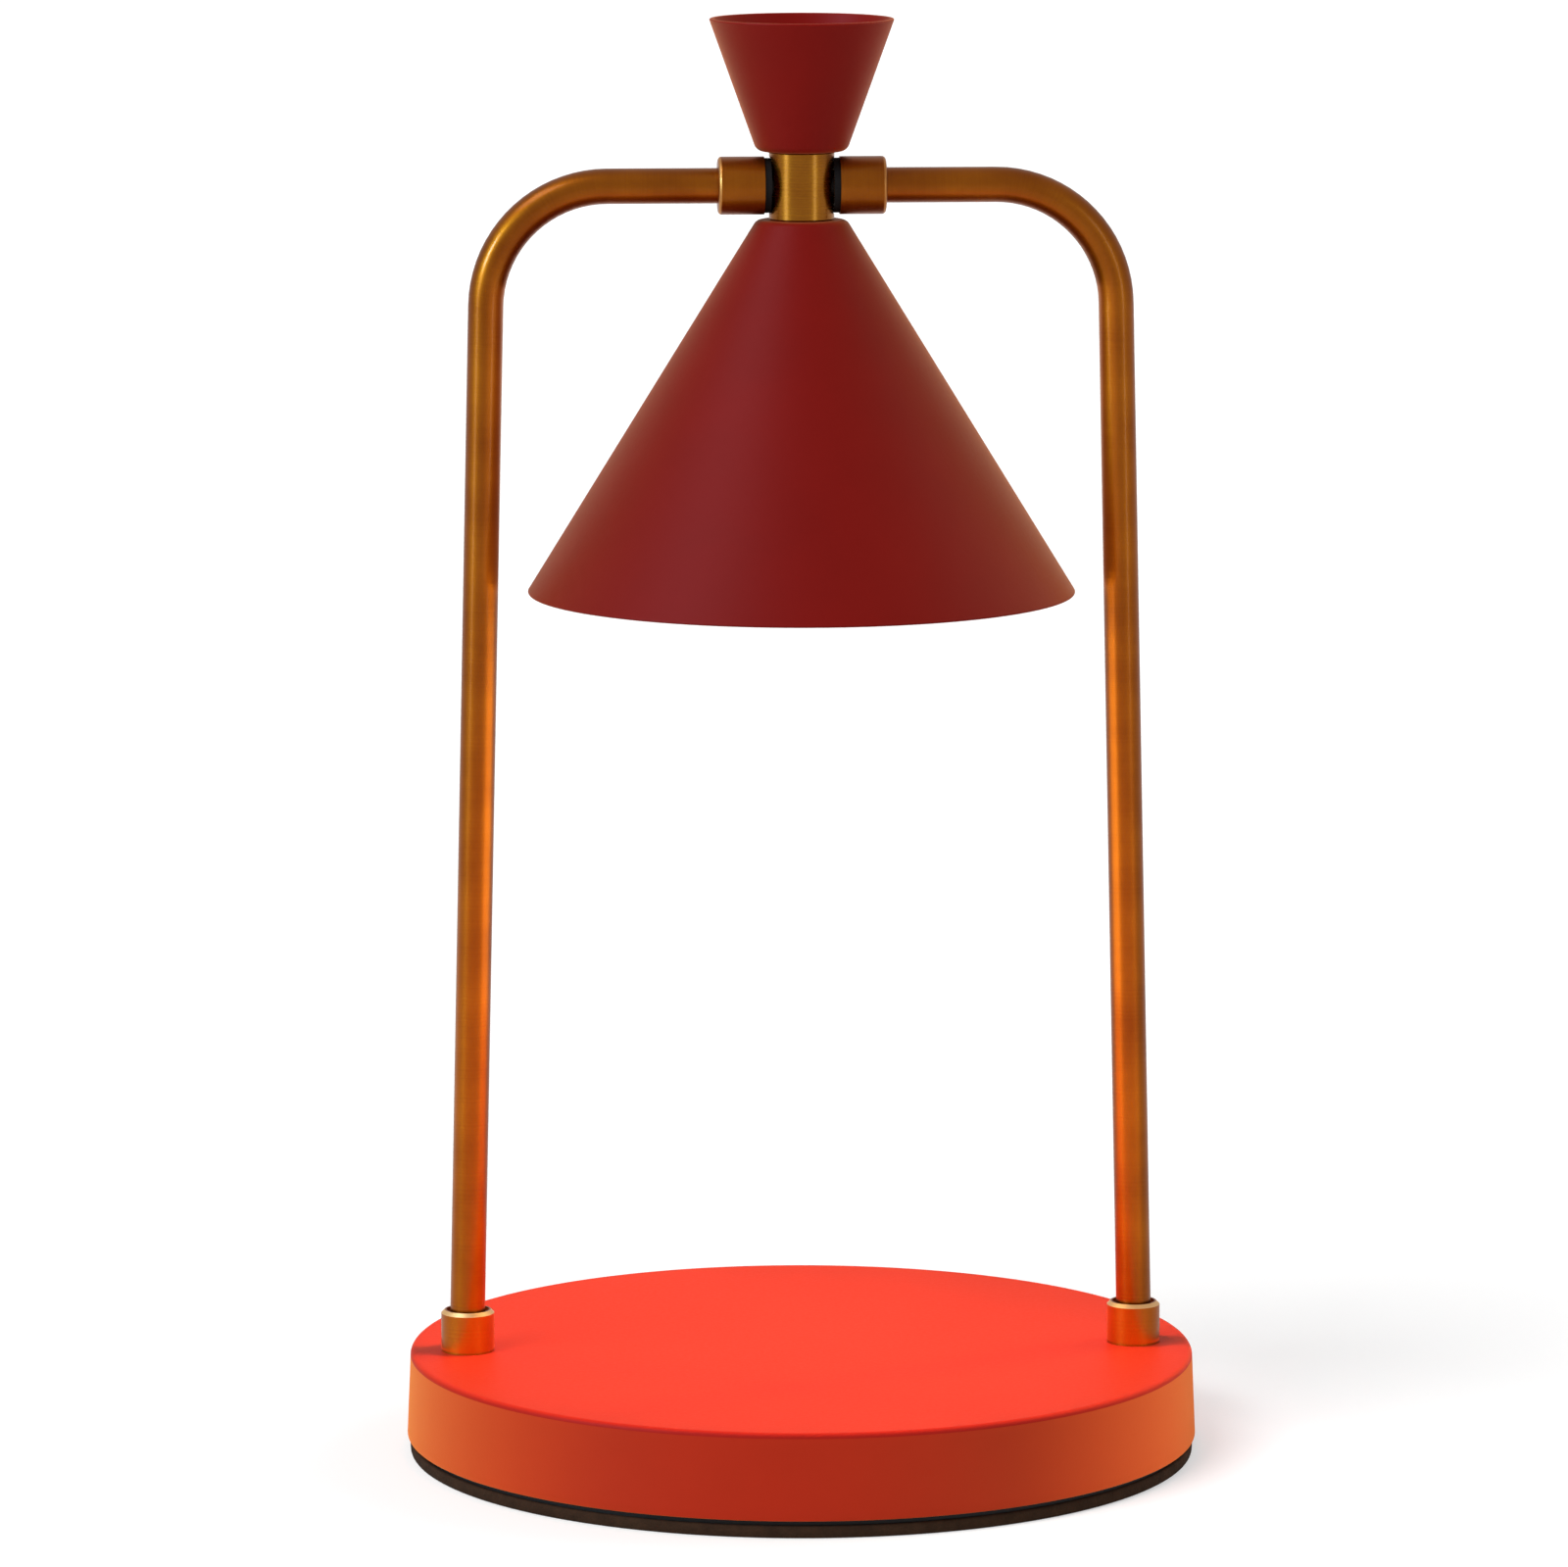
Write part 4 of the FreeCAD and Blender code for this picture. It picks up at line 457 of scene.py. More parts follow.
for side in ("left", "right"):
    # the chamfers round the collars' outer lips take a pale painted highlight
    giveSecondFinish("foot_collar_" + side, highlightEdgeRound, lambda face: isSloped(face.normal.z))
    giveSecondFinish("pivot_collar_" + side, highlightEdgeAcross, isPivotLip)
    # the friction washers' running faces take on a skin of brass from the hub
    giveSecondFinish("friction_washer_" + side, hubBrass, isRunningFace)
print("finishes on", len(finishes), "nodes")

# what the record says of each node: the body it moves with
bodyOf = {name: body for body, held in frame["record"]["behaviour"]["bodies"].items() for name in held}


def boxOf(name):  # a node's lowest and highest corners in millimetres
    return tuple(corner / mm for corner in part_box(name))


def roundedOutline(corners, steps=4):
    # a closed outline; a corner's third entry is its rounding, drawn as an arc of short sides
    outline = []
    for index, corner in enumerate(corners):
        here = Vector(corner[:2])
        if len(corner) == 2:
            outline.append((here.x, here.y))
            continue
        back = (Vector(corners[index - 1][:2]) - here).normalized()
        ahead = (Vector(corners[(index + 1) % len(corners)][:2]) - here).normalized()
        half = back.angle(ahead) / 2
        middle = here + (back + ahead).normalized() * corner[2] / math.sin(half)
        start = here + back * corner[2] / math.tan(half) - middle
        end = here + ahead * corner[2] / math.tan(half) - middle
        turn = start.angle_signed(end)
        for step in range(steps + 1):
            angle = math.atan2(start.y, start.x) - turn * step / steps
            outline.append((middle.x + corner[2] * math.cos(angle), middle.y + corner[2] * math.sin(angle)))
    return outline


def turnOutline(bm, outline, steps, place=None, shape=None, loop=True, slot=0):
    # turns (radius, height) points in millimetres round Z; shape() may move a point of the ring
    rings = []
    for radius, height in outline:
        ring = []
        for step in range(1 if radius == 0 else steps):
            angle = 2 * math.pi * step / steps
            out, up = shape(angle, radius, height) if shape else (radius, height)
            point = Vector((out * math.cos(angle), out * math.sin(angle), up))
            ring.append(bm.verts.new((place @ point if place else point) * mm))
        rings.append(ring)
    for near, far in zip(rings, rings[1:] + rings[:1] if loop else rings[1:]):
        if len(near) == len(far) == 1:
            continue
        for step in range(steps):
            after = (step + 1) % steps
            around = ((near, step), (near, after), (far, after), (far, step))
            corners = [ring[spot % len(ring)] for ring, spot in around]
            face = bm.faces.new(tuple(dict.fromkeys(corners)))  # a ring of one point gives triangles
            face.material_index = slot
    return rings


def loopEdges(bm, points):
    edges = []
    for index, point in enumerate(points):
        pair = (point, points[(index + 1) % len(points)])
        edges.append(bm.edges.get(pair) or bm.edges.new(pair))
    return edges


def addPiece(bm, name, materials, crease=None):  # crease: degrees from which an edge stays sharp
    mesh = bpy.data.meshes.new(name)
    bm.to_mesh(mesh)
    bm.free()
    for material in materials:
        mesh.materials.append(material)
    mesh.shade_smooth()
    if crease:
        mesh.set_sharp_from_angle(angle=math.radians(crease))
    piece = bpy.data.objects.new(name, mesh)
    scene.collection.objects.link(piece)
    return piece


def standFor(bm, nodeName, *materials, tidyNormals=True, crease=35.0):
    # a piece with the node's name in camelCase, which rides with the node's body and shows in its stead
    if tidyNormals:
        bmesh.ops.recalc_face_normals(bm, faces=bm.faces)
    first, *rest = nodeName.split("_")
    piece = addPiece(bm, first + "".join(word.capitalize() for word in rest), materials, crease)
    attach(piece, bodyOf[nodeName])
    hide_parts(nodeName)
    return piece


# base shell: a deep-drawn steel cup, its top edge rolled round and its mouth deburred, with the two holes
# for the arms in the top and the cord's hole in the rear wall
shellShape = {
    "top": 90.0,
    "skin": 1.2,
    "edge": 1.2,
    "inside": 0.6,
    "lip": 0.25,
    "guard": 0.5,
    "flatRing": 4.0,
    "armHole": 4.05,
    "inletLevel": 12.0,
    "inletHole": 4.65,
    "patch": 6.6,
    "steps": 288,
    "roundSteps": 8,
    "holeSteps": 48,
}


def zipRings(bm, near, far, turnOf):
    # triangles between two rings whose points are in the order of their angles: each step moves the ring
    # that lags
    steps = [0, 0]
    while steps[0] < len(near) or steps[1] < len(far):
        ahead = []
        for ring, step in zip((near, far), steps):
            laps, place = divmod(step + 1, len(ring))
            ahead.append(turnOf(ring[place]) + 2 * math.pi * laps if step < len(ring) else math.inf)
        moving = 0 if ahead[0] <= ahead[1] else 1
        ring = (near, far)[moving]
        start = (near[steps[0] % len(near)], far[steps[1] % len(far)])
        bm.faces.new((*start, ring[(steps[moving] + 1) % len(ring)]))
        steps[moving] += 1


def makeShell(shell):
    low, high = boxOf("base_shell")
    foot, skin, steps = high.x, shell["skin"], shell["steps"]
    draft = (foot - shell["top"]) / (high.z - low.z)
    under = high.z - skin
    patchRows = (shell["inletLevel"] + shell["patch"], shell["inletLevel"] - shell["patch"])

    def wallOut(height):
        return foot - draft * (height - low.z)

    def wallIn(height):
        return wallOut(height) - skin

    highestOut = high.z - shell["edge"] - shell["guard"]
    highestIn = under - shell["inside"] - shell["guard"]
    outerRows = [(wallOut(row), row) for row in (highestOut, *patchRows)]
    innerRows = [(wallIn(row), row) for row in (*reversed(patchRows), highestIn)]
    corners = [
        (shell["top"] - shell["flatRing"], high.z),
        (shell["top"], high.z, shell["edge"]),
        *outerRows,
        (foot, low.z, shell["lip"]),
        (foot - skin, low.z, shell["lip"]),
        *innerRows,
        (wallIn(under), under, shell["inside"]),
        (shell["top"] - shell["flatRing"], under),
    ]
    outline = roundedOutline(corners, shell["roundSteps"])
    # a narrow flat ring inside each round keeps its shading off the wide flat faces
    outline.insert(1, (outline[1][0] - shell["guard"], high.z))
    outline.insert(len(outline) - 1, (outline[-2][0] - shell["guard"], under))
    bm = bmesh.new()
    rings = turnOutline(bm, outline, steps, loop=False)
    # the top's faces and its round take the second slot: the top's darker red, beside the wall's red that
    # is painted lighter as painted light
    for face in bm.faces:
        if face.calc_center_median().z / mm > high.z - shell["edge"]:
            face.material_index = 1
    # the flat top and its underside, with the arms' holes
    top, underneath = loopEdges(bm, rings[0]), loopEdges(bm, rings[-1])
    bore = ((shell["armHole"], high.z), (shell["armHole"], under))
    for side in (-1, 1):
        spot = Matrix.Translation((side * arms["reach"], 0, 0))
        hole = turnOutline(bm, bore, shell["holeSteps"], spot, loop=False)
        top += loopEdges(bm, hole[0])
        underneath += loopEdges(bm, hole[1])
    for edges, slot in ((top, 1), (underneath, 0)):
        made = bmesh.ops.triangle_fill(bm, use_beauty=True, edges=edges, normal=(0, 0, 1))
        for face in made["geom"]:
            if isinstance(face, bmesh.types.BMFace):
                face.material_index = slot
    # the cord's hole: a patch of both skins of the rear wall is cut out and filled round the hole
    reach = shell["patch"] * mm
    level = shell["inletLevel"] * mm
    patch = []
    for face in bm.faces:
        middle = face.calc_center_median()
        if middle.y > 0 and abs(middle.x) < reach and abs(middle.z - level) < reach:
            patch.append(face)
    borders = {True: set(), False: set()}  # the outer and the inner skin's points round the patch
    for face in patch:
        outer = face.calc_center_median().xy.length / mm > wallOut(shell["inletLevel"]) - skin / 2
        borders[outer].update(face.verts)
    bmesh.ops.delete(bm, geom=patch, context="FACES")

    def turnOf(point):
        return math.atan2(point.co.z - level, point.co.x) % (2 * math.pi)

    loops = []
    for outer, wall in ((True, wallOut), (False, wallIn)):
        ring = []
        for step in range(shell["holeSteps"]):
            angle = 2 * math.pi * step / shell["holeSteps"]
            across = shell["inletHole"] * math.cos(angle)
            up = shell["inletLevel"] + shell["inletHole"] * math.sin(angle)
            ring.append(bm.verts.new(Vector((across, math.sqrt(wall(up) ** 2 - across ** 2), up)) * mm))
        zipRings(bm, ring, sorted(borders[outer], key=turnOf), turnOf)
        loops.append(ring)
    for step in range(shell["holeSteps"]):
        after = (step + 1) % shell["holeSteps"]
        bm.faces.new((loops[0][step], loops[0][after], loops[1][after], loops[1][step]))
    openEdges = sum(len(edge.link_faces) != 2 for edge in bm.edges)
    print("shell made,", len(bm.faces), "faces,", openEdges, "open edges")
    return standFor(bm, "base_shell", wallCoatPaintedLighter, topCoat)


shellPiece = makeShell(shellShape)

# foam pad: die cut, so its edge is soft and bulges a little, with the four screwdriver holes
padShape = {
    "edge": 0.6,
    "bulge": 0.12,
    "bulgeRound": 2.0,
    "holes": 4,
    "firstHole": 45.0,
    "holeRadius": 5.5,
    "holeReach": 70.0,
    "steps": 180,
    "holeSteps": 28,
}


def makePad(pad):
    low, high = boxOf("base_pad")
    radius, middle = high.x, (low.z + high.z) / 2
    bm = bmesh.new()
    side = roundedOutline((
        (0.0, low.z),
        (radius - pad["bulge"], low.z, pad["edge"]),
        (radius, middle, pad["bulgeRound"]),
        (radius - pad["bulge"], high.z, pad["edge"]),
        (0.0, high.z),
    ))[1:-1]
    rings = turnOutline(bm, side, pad["steps"], loop=False)
    under, top = loopEdges(bm, rings[0]), loopEdges(bm, rings[-1])
    bore = ((pad["holeRadius"], low.z), (pad["holeRadius"], high.z))
    for index in range(pad["holes"]):
        angle = math.radians(pad["firstHole"] + 360 / pad["holes"] * index)
        out, along = pad["holeReach"] * math.cos(angle), pad["holeReach"] * math.sin(angle)
        hole = turnOutline(bm, bore, pad["holeSteps"], Matrix.Translation((out, along, 0)), loop=False)
        under += loopEdges(bm, hole[0])
        top += loopEdges(bm, hole[1])
    for edges in (under, top):
        bmesh.ops.triangle_fill(bm, use_beauty=True, edges=edges)
    standFor(bm, "base_pad", foam)


makePad(padShape)
print("pad made")

# screws: pan heads with a cross, hex-socket grub screws and a slotted stop screw, all with real threads
smallScrew = {
    "head": 2.4, "headHeight": 1.5, "shank": 1.25, "pitch": 0.6,
    "recess": "cross", "size": 1.3, "depth": 0.9, "towards": (0, 0, 1),
}
screwSets = {
    "cover_screws": {
        "head": 3.8, "headHeight": 2.0, "shank": 1.6, "pitch": 0.8,
        "recess": "cross", "size": 1.9, "depth": 1.2, "towards": (0, 0, -1),
    },
    "cord_clamp_screws": smallScrew,
    "terminal_screw": smallScrew,
    "holder_screws": {**smallScrew, "head": 2.0, "size": 1.1},
    "collar_grub_screws": {
        "head": 1.3, "headHeight": 0.25, "shank": 1.3, "pitch": 0.45,
        "recess": "hex", "size": 0.75, "depth": 1.1, "towards": (0, 1, 0),
    },
    "stop_screw": {
        "head": 0.9, "headHeight": 0.2, "shank": 0.9, "pitch": 0.35,
        "recess": "slot", "size": 0.72, "depth": 0.45, "towards": (0, 1, 0),
    },
}
# the form that they share, in millimetres or as shares of the size named
screwForm = {
    "panHead": ((0.66, 0.0), (0.86, 0.12), (0.97, 0.42), (1.0, 0.7), (1.0, 1.0)),  # of radius and height
    "crownEdge": 0.15,
    "neck": 0.1,
    "threadStart": 0.05,
    "point": 0.3,
    "pointRadius": 0.7,  # of the shank
    "threadDepth": 0.33,  # of the pitch
    "slotHalf": 0.22,  # of the recess's size
    "recessTaper": 0.8,
    "placeDigits": 4,
    "steps": 28,
}


def recessCorners(kind, size):
    if kind == "hex":
        turns = [math.radians(60 * n) for n in range(6)]
        return [(size * math.cos(turn), size * math.sin(turn)) for turn in turns]
    half = size * screwForm["slotHalf"]
    if kind == "slot":
        return [(-size, -half), (size, -half), (size, half), (-size, half)]
    cross = []
    for quarter in range(4):
        turn = Matrix.Rotation(math.radians(90 * quarter), 2)
        cross += [tuple(turn @ Vector(corner)) for corner in ((size, -half), (size, half), (half, half))]
    return cross


def threadHeights(low, high, pitch, perTurn=6):
    count = max(2, round((high - low) / pitch * perTurn))
    return [low + (high - low) * step / count for step in range(count + 1)]


def threadShape(crest, pitch, depth):  # a ridge that climbs one pitch in each turn
    def shape(angle, radius, height):
        if abs(radius - crest) > 1e-6:
            return radius, height
        wave = abs(2 * ((height / pitch - angle / (2 * math.pi)) % 1) - 1)
        return crest - depth * wave, height
    return shape


def addScrew(bm, screw, form, length, place):  # drawn with its crown at height 0 and its tip below
    head, shank, under, tip = screw["head"], screw["shank"], -screw["headHeight"], -length
    if head > shank:
        side = [(head * out, under * down) for out, down in form["panHead"]]
        side.append((shank - form["neck"], under))
    else:
        side = [(shank - form["crownEdge"], 0.0)]
    thread = threadHeights(tip + form["point"], under - form["threadStart"], screw["pitch"])
    side += [(shank, up) for up in reversed(thread)]
    side += [(shank * form["pointRadius"], tip), (0, tip)]
    shape = threadShape(shank, screw["pitch"], form["threadDepth"] * screw["pitch"])
    rings = turnOutline(bm, side, form["steps"], place, shape, loop=False)
    rim = loopEdges(bm, rings[0])
    corners = recessCorners(screw["recess"], screw["size"])
    mouth = [bm.verts.new((place @ Vector((x, y, 0))) * mm) for x, y in corners]
    taper, floorLevel = form["recessTaper"], -screw["depth"]
    bed = [bm.verts.new((place @ Vector((x * taper, y * taper, floorLevel))) * mm) for x, y in corners]
    bmesh.ops.triangle_fill(bm, use_beauty=True, edges=rim + loopEdges(bm, mouth))
    for index in range(len(mouth)):
        after = (index + 1) % len(mouth)
        bm.faces.new((mouth[index], mouth[after], bed[after], bed[index]))
    bm.faces.new(bed)


def screwPlaces(low, high, edge):
    # at both ends of a side of the box, or one place where both round alike; a side that is one screw
    # wide and a few micrometres over keeps both
    digits = screwForm["placeDigits"]
    return {round(low + edge, digits), round(high - edge, digits)}


def makeScrewSet(nodeName, screw):
    low, high = boxOf(nodeName)
    towards = Vector(screw["towards"])
    length = abs((high - low).dot(towards))
    edge = max(screw["head"], screw["shank"])
    turn = towards.to_track_quat("Z", "Y").to_matrix().to_4x4()
    across = screwPlaces(low.x, high.x, edge)
    if towards.z:
        crown = high.z if towards.z > 0 else low.z
        spots = [(x, y, crown) for x in across for y in screwPlaces(low.y, high.y, edge)]
    else:
        spots = [(x, high.y, (low.z + high.z) / 2) for x in across]
    bm = bmesh.new()
    for spot in spots:
        addScrew(bm, screw, screwForm, length, Matrix.Translation(spot) @ turn)
    standFor(bm, nodeName, zincSteel)
    print(nodeName, len(spots), "screws")


for nodeName, screw in screwSets.items():
    makeScrewSet(nodeName, screw)

# hex nuts: corners cut by a cone at both ends, so each flat ends in an arc
lampNut = {"flats": 13.8, "bore": 5.0, "spots": (0.0,)}
nutSets = {
    "shade_nut": lampNut,
    "bracket_nut": lampNut,
    "top_nut": lampNut,
    "foot_nuts": {"flats": 13.0, "bore": 4.05, "spots": (-arms["reach"], arms["reach"])},
}
nutForm = {"flatCut": 0.25, "coneSlope": 30.0, "coneRows": 4, "boreEdge": 0.4, "steps": 72}


def hexShape(flats):  # corners lie along X
    def shape(angle, radius, height):
        flat = flats / 2 / math.cos(angle % (math.pi / 3) - math.pi / 6)
        return min(radius, flat), height
    return shape


def makeNuts(nodeName, nut, form):
    low, high = boxOf(nodeName)
    bore, edge, rows = nut["bore"], form["boreEdge"], form["coneRows"]
    corner = nut["flats"] / 2 / math.cos(math.pi / 6)
    start = nut["flats"] / 2 - form["flatCut"]
    fall = (corner - start) * math.tan(math.radians(form["coneSlope"]))
    cone = [(start + (corner - start) * n / rows, fall * n / rows) for n in range(rows + 1)]
    outline = [(bore + edge, low.z)] + [(out, low.z + up) for out, up in cone]
    outline += [(out, high.z - up) for out, up in reversed(cone)]
    outline += [(bore + edge, high.z), (bore, high.z - edge), (bore, low.z + edge)]
    bm = bmesh.new()
    for spot in nut["spots"]:
        turnOutline(bm, outline, form["steps"], Matrix.Translation((spot, 0, 0)), hexShape(nut["flats"]))
    standFor(bm, nodeName, zincSteel, crease=25.0)


for nodeName, nut in nutSets.items():
    makeNuts(nodeName, nut, nutForm)
print("nuts made")

# lamp nipples: M10 x 1 tube, threaded from end to end
nippleShape = {"bore": 3.6, "pitch": 1.0, "depth": 0.45, "chamfer": 0.5, "steps": 48}


def makeNipple(nodeName, nipple):
    low, high = boxOf(nodeName)
    crest, cut = high.x, nipple["chamfer"]
    outline = [(nipple["bore"], low.z), (crest - cut, low.z)]
    outline += [(crest, up) for up in threadHeights(low.z + cut, high.z - cut, nipple["pitch"])]
    outline += [(crest - cut, high.z), (nipple["bore"], high.z)]
    bm = bmesh.new()
    turnOutline(bm, outline, nipple["steps"], shape=threadShape(crest, nipple["pitch"], nipple["depth"]))
    standFor(bm, nodeName, zincSteel, crease=60.0)


for nodeName in ("lower_nipple", "upper_nipple"):
    makeNipple(nodeName, nippleShape)
print("nipples made")

# toothed lock washers under the cones' nuts, each tooth twisted so that it bites both faces
lockShape = {
    "bore": 5.05,
    "root": 6.75,
    "gapDepth": 0.02,
    "teeth": 14,
    "toothShare": 0.6,
    "twist": 0.2,
    "perTooth": 10,
}


def makeLockWasher(nodeName, washer):
    low, high = boxOf(nodeName)

    def shape(angle, radius, height):
        phase = (angle * washer["teeth"] / (2 * math.pi)) % 1 / washer["toothShare"]
        if radius <= washer["root"]:
            return radius, height
        if phase > 1:
            return washer["root"] + washer["gapDepth"], height
        return radius, height + washer["twist"] * (2 * phase - 1)

    near, far = low.z + washer["twist"], high.z - washer["twist"]
    outline = ((washer["bore"], near), (washer["root"], near), (high.x, near),
               (high.x, far), (washer["root"], far), (washer["bore"], far))
    bm = bmesh.new()
    turnOutline(bm, outline, washer["teeth"] * washer["perTooth"], shape=shape)
    standFor(bm, nodeName, zincSteel, crease=30.0)


for nodeName in ("shade_washer", "top_washer"):
    makeLockWasher(nodeName, lockShape)

# plain washers where the arms' feet are clamped, punched so that one side's edges are soft
footWasherShape = {"outer": 8.0, "bore": 4.4, "edge": 0.3, "edgeSteps": 3, "steps": 48}


def makeFootWashers(washer):
    low, high = boxOf("foot_washers")
    outer, bore, edge = washer["outer"], washer["bore"], washer["edge"]
    corners = ((bore, low.z), (outer, low.z), (outer, high.z, edge), (bore, high.z, edge))
    outline = roundedOutline(corners, washer["edgeSteps"])
    bm = bmesh.new()
    for side in (-1, 1):
        turnOutline(bm, outline, washer["steps"], Matrix.Translation((side * (high.x - outer), 0, 0)))
    standFor(bm, "foot_washers", zincSteel)


makeFootWashers(footWasherShape)
print("washers made")

# cord grommet: a soft double flange that snaps into the rear wall
grommetShape = {"bore": 3.1, "neck": 4.6, "flange": 1.5, "round": 0.6, "neckRound": 0.2, "steps": 64}


def makeGrommet(grommet):
    low, high = boxOf("cord_grommet")
    outer, long = high.x, high.y - low.y
    bore, neck, flange, soft = grommet["bore"], grommet["neck"], grommet["flange"], grommet["round"]
    outline = roundedOutline((
        (bore, 0.0, soft),
        (outer, 0.0, soft),
        (outer, flange, soft),
        (neck, flange, grommet["neckRound"]),
        (neck, long - flange, grommet["neckRound"]),
        (outer, long - flange, soft),
        (outer, long, soft),
        (bore, long, soft),
    ))
    bm = bmesh.new()
    place = Matrix.Translation((0, low.y, (low.z + high.z) / 2))
    turnOutline(bm, outline, grommet["steps"], place @ Matrix.Rotation(math.radians(-90), 4, "X"))
    standFor(bm, "cord_grommet", blackRubber)


makeGrommet(grommetShape)

# holder bracket: one strip of sheet, folded to a hat with round bends
bracketShape = {"sheet": 1.2, "bend": 0.5, "foot": 4.6, "burr": 0.15, "bendSteps": 6}


def makeBracket(bracket):
    low, high = boxOf("holder_bracket")
    sheetThick, tight, burr = bracket["sheet"], bracket["bend"], bracket["burr"]
    wide, span = tight + sheetThick, high.x - bracket["foot"]
    half = [
        (span - sheetThick, high.z - sheetThick, tight),
        (span - sheetThick, low.z, wide),
        (high.x, low.z),
        (high.x, low.z + sheetThick),
        (span, low.z + sheetThick, tight),
        (span, high.z, wide),
    ]
    corners = half + [(-x, *rest) for x, *rest in reversed(half)]
    outline = roundedOutline(corners, bracket["bendSteps"])
    bm = bmesh.new()
    # the burrs are off the feet's corners
    loops = []
    for across, inset in ((low.y, burr), (low.y + burr, 0.0), (high.y - burr, 0.0), (high.y, burr)):
        loop = []
        for x, z in outline:
            out = x - math.copysign(inset, x) if abs(x) > span else x
            loop.append(bm.verts.new(Vector((out, across, z)) * mm))
        loops.append(loop)
    for near, far in zip(loops, loops[1:]):
        for index in range(len(near)):
            after = (index + 1) % len(near)
            bm.faces.new((near[index], near[after], far[after], far[index]))
    for end in (loops[0], loops[-1]):
        bmesh.ops.triangle_fill(bm, use_beauty=True, edges=loopEdges(bm, end))
    standFor(bm, "holder_bracket", zincSteel, crease=30.0)


makeBracket(bracketShape)
print("grommet and bracket made")

# reflector of the bulb: a pressed glass bowl with a smooth back and a faceted mirror inside
reflectorShape = {
    "waist": 13.5,
    "rimHeight": 4.0,
    "rimEdge": 0.5,
    "glass": 1.6,
    "seat": 2.4,
    "throat": 6.2,
    "bulge": (0.0792, 0.0308),  # how far the back swells out and up, as shares of its height
    "backRows": 10,
    "facets": 30,
    "rows": 9,
    "steps": 90,
}


def makeReflector(bowl):
    low, high = boxOf("bulb_reflector")
    rim, waist, rimTop = high.x, bowl["waist"], low.z + bowl["rimHeight"]
    deep = high.z - rimTop
    lip, throat, seat = rim - bowl["glass"], bowl["throat"], low.z + bowl["seat"]
    outside = [(lip, low.z), (rim - bowl["rimEdge"], low.z), (rim, low.z + bowl["rimEdge"])]
    # the back is a curve from the rim to the waist that swells out on its way
    for row in range(bowl["backRows"] + 1):
        share = row / bowl["backRows"]
        bulgeOut, bulgeUp = (deep * math.sin(math.pi * share) * swell for swell in bowl["bulge"])
        out = rim + (waist - rim) * share + bulgeOut
        outside.append((min(out, rim), min(rimTop + deep * share + bulgeUp, high.z)))
    outside.append((throat, high.z))
    mirror = []
    for row in range(bowl["rows"] + 1):
        share = row / bowl["rows"]
        mirror.append((throat + (lip - throat) * math.sqrt(1 - share), seat + (high.z - seat) * share))
    bm = bmesh.new()
    turnOutline(bm, outside, bowl["steps"], loop=False)
    turnOutline(bm, ((lip, seat), (lip, low.z)), bowl["steps"], loop=False)
    turnOutline(bm, list(reversed(mirror)), bowl["facets"], loop=False, slot=1)
    bm.normal_update()
    piece = standFor(bm, "bulb_reflector", mirrorBack, mirrorGlass, tidyNormals=False)
    for face in piece.data.polygons:
        if face.material_index == 1:
            face.use_smooth = False  # each facet stays a flat mirror


makeReflector(reflectorShape)

# front glass: a disc whose outer face bellies out by the sag
lensShape = {"sag": 0.7, "edge": 0.2, "rings": 10, "steps": 72}


def makeLens(lens):
    low, high = boxOf("bulb_lens")
    rings, edge = lens["rings"], lens["edge"]
    outline = [(high.x * n / rings, low.z + lens["sag"] * (n / rings) ** 2) for n in range(rings + 1)]
    outline += [(high.x, high.z - edge), (high.x - edge, high.z), (0, high.z)]
    bm = bmesh.new()
    turnOutline(bm, outline, lens["steps"], loop=False)
    standFor(bm, "bulb_lens", lensGlass, tidyNormals=False)


makeLens(lensShape)

# halogen capsule: a quartz tube with a pip at its tip, pressed flat where the wires go in
capsuleShape = {
    "wall": 0.8,
    "pinchStart": 12.2,
    "pinchEnd": 14.2,
    "pinchHalf": 1.7,
    # radius and height over the tip; inf is as wide as the tube lets it be
    "tip": (
        (0, 0.0), (0.35, 0.1), (0.6, 0.5), (0.8, 1.1), (1.6, 1.55), (3.3, 2.2), (4.4, 3.4), (math.inf, 5.2),
    ),
    "hollow": (
        (0, 11.4), (2.2, 11.2), (3.6, 10.2), (math.inf, 8.4),
        (math.inf, 6.0), (3.5, 4.0), (1.9, 3.0), (0, 2.7),
    ),
    "rows": 12,
    "steps": 48,
}


def makeCapsule(capsule):
    low, high = boxOf("bulb_capsule")
    radius = high.x
    first, last = low.z + capsule["pinchStart"], low.z + capsule["pinchEnd"]

    def pinch(angle, out, up):
        if out == 0:
            return out, up
        share = min(max((up - first) / (last - first), 0.0), 1.0)
        narrow = out * (1 - share) + min(out, capsule["pinchHalf"]) * share
        return 1 / math.hypot(math.cos(angle) / out, math.sin(angle) / narrow), up

    outside = [(min(out, radius), low.z + up) for out, up in capsule["tip"]]
    shoulder = outside[-1][1]
    for row in range(1, capsule["rows"] + 1):
        outside.append((radius, shoulder + (high.z - shoulder) * row / capsule["rows"]))
    outside.append((0, high.z))
    inner = radius - capsule["wall"]
    inside = [(min(out, inner), low.z + up) for out, up in capsule["hollow"]]
    bm = bmesh.new()
    turnOutline(bm, outside, capsule["steps"], shape=pinch, loop=False)
    turnOutline(bm, inside, capsule["steps"], loop=False)
    standFor(bm, "bulb_capsule", capsuleGlass, tidyNormals=False)


makeCapsule(capsuleShape)

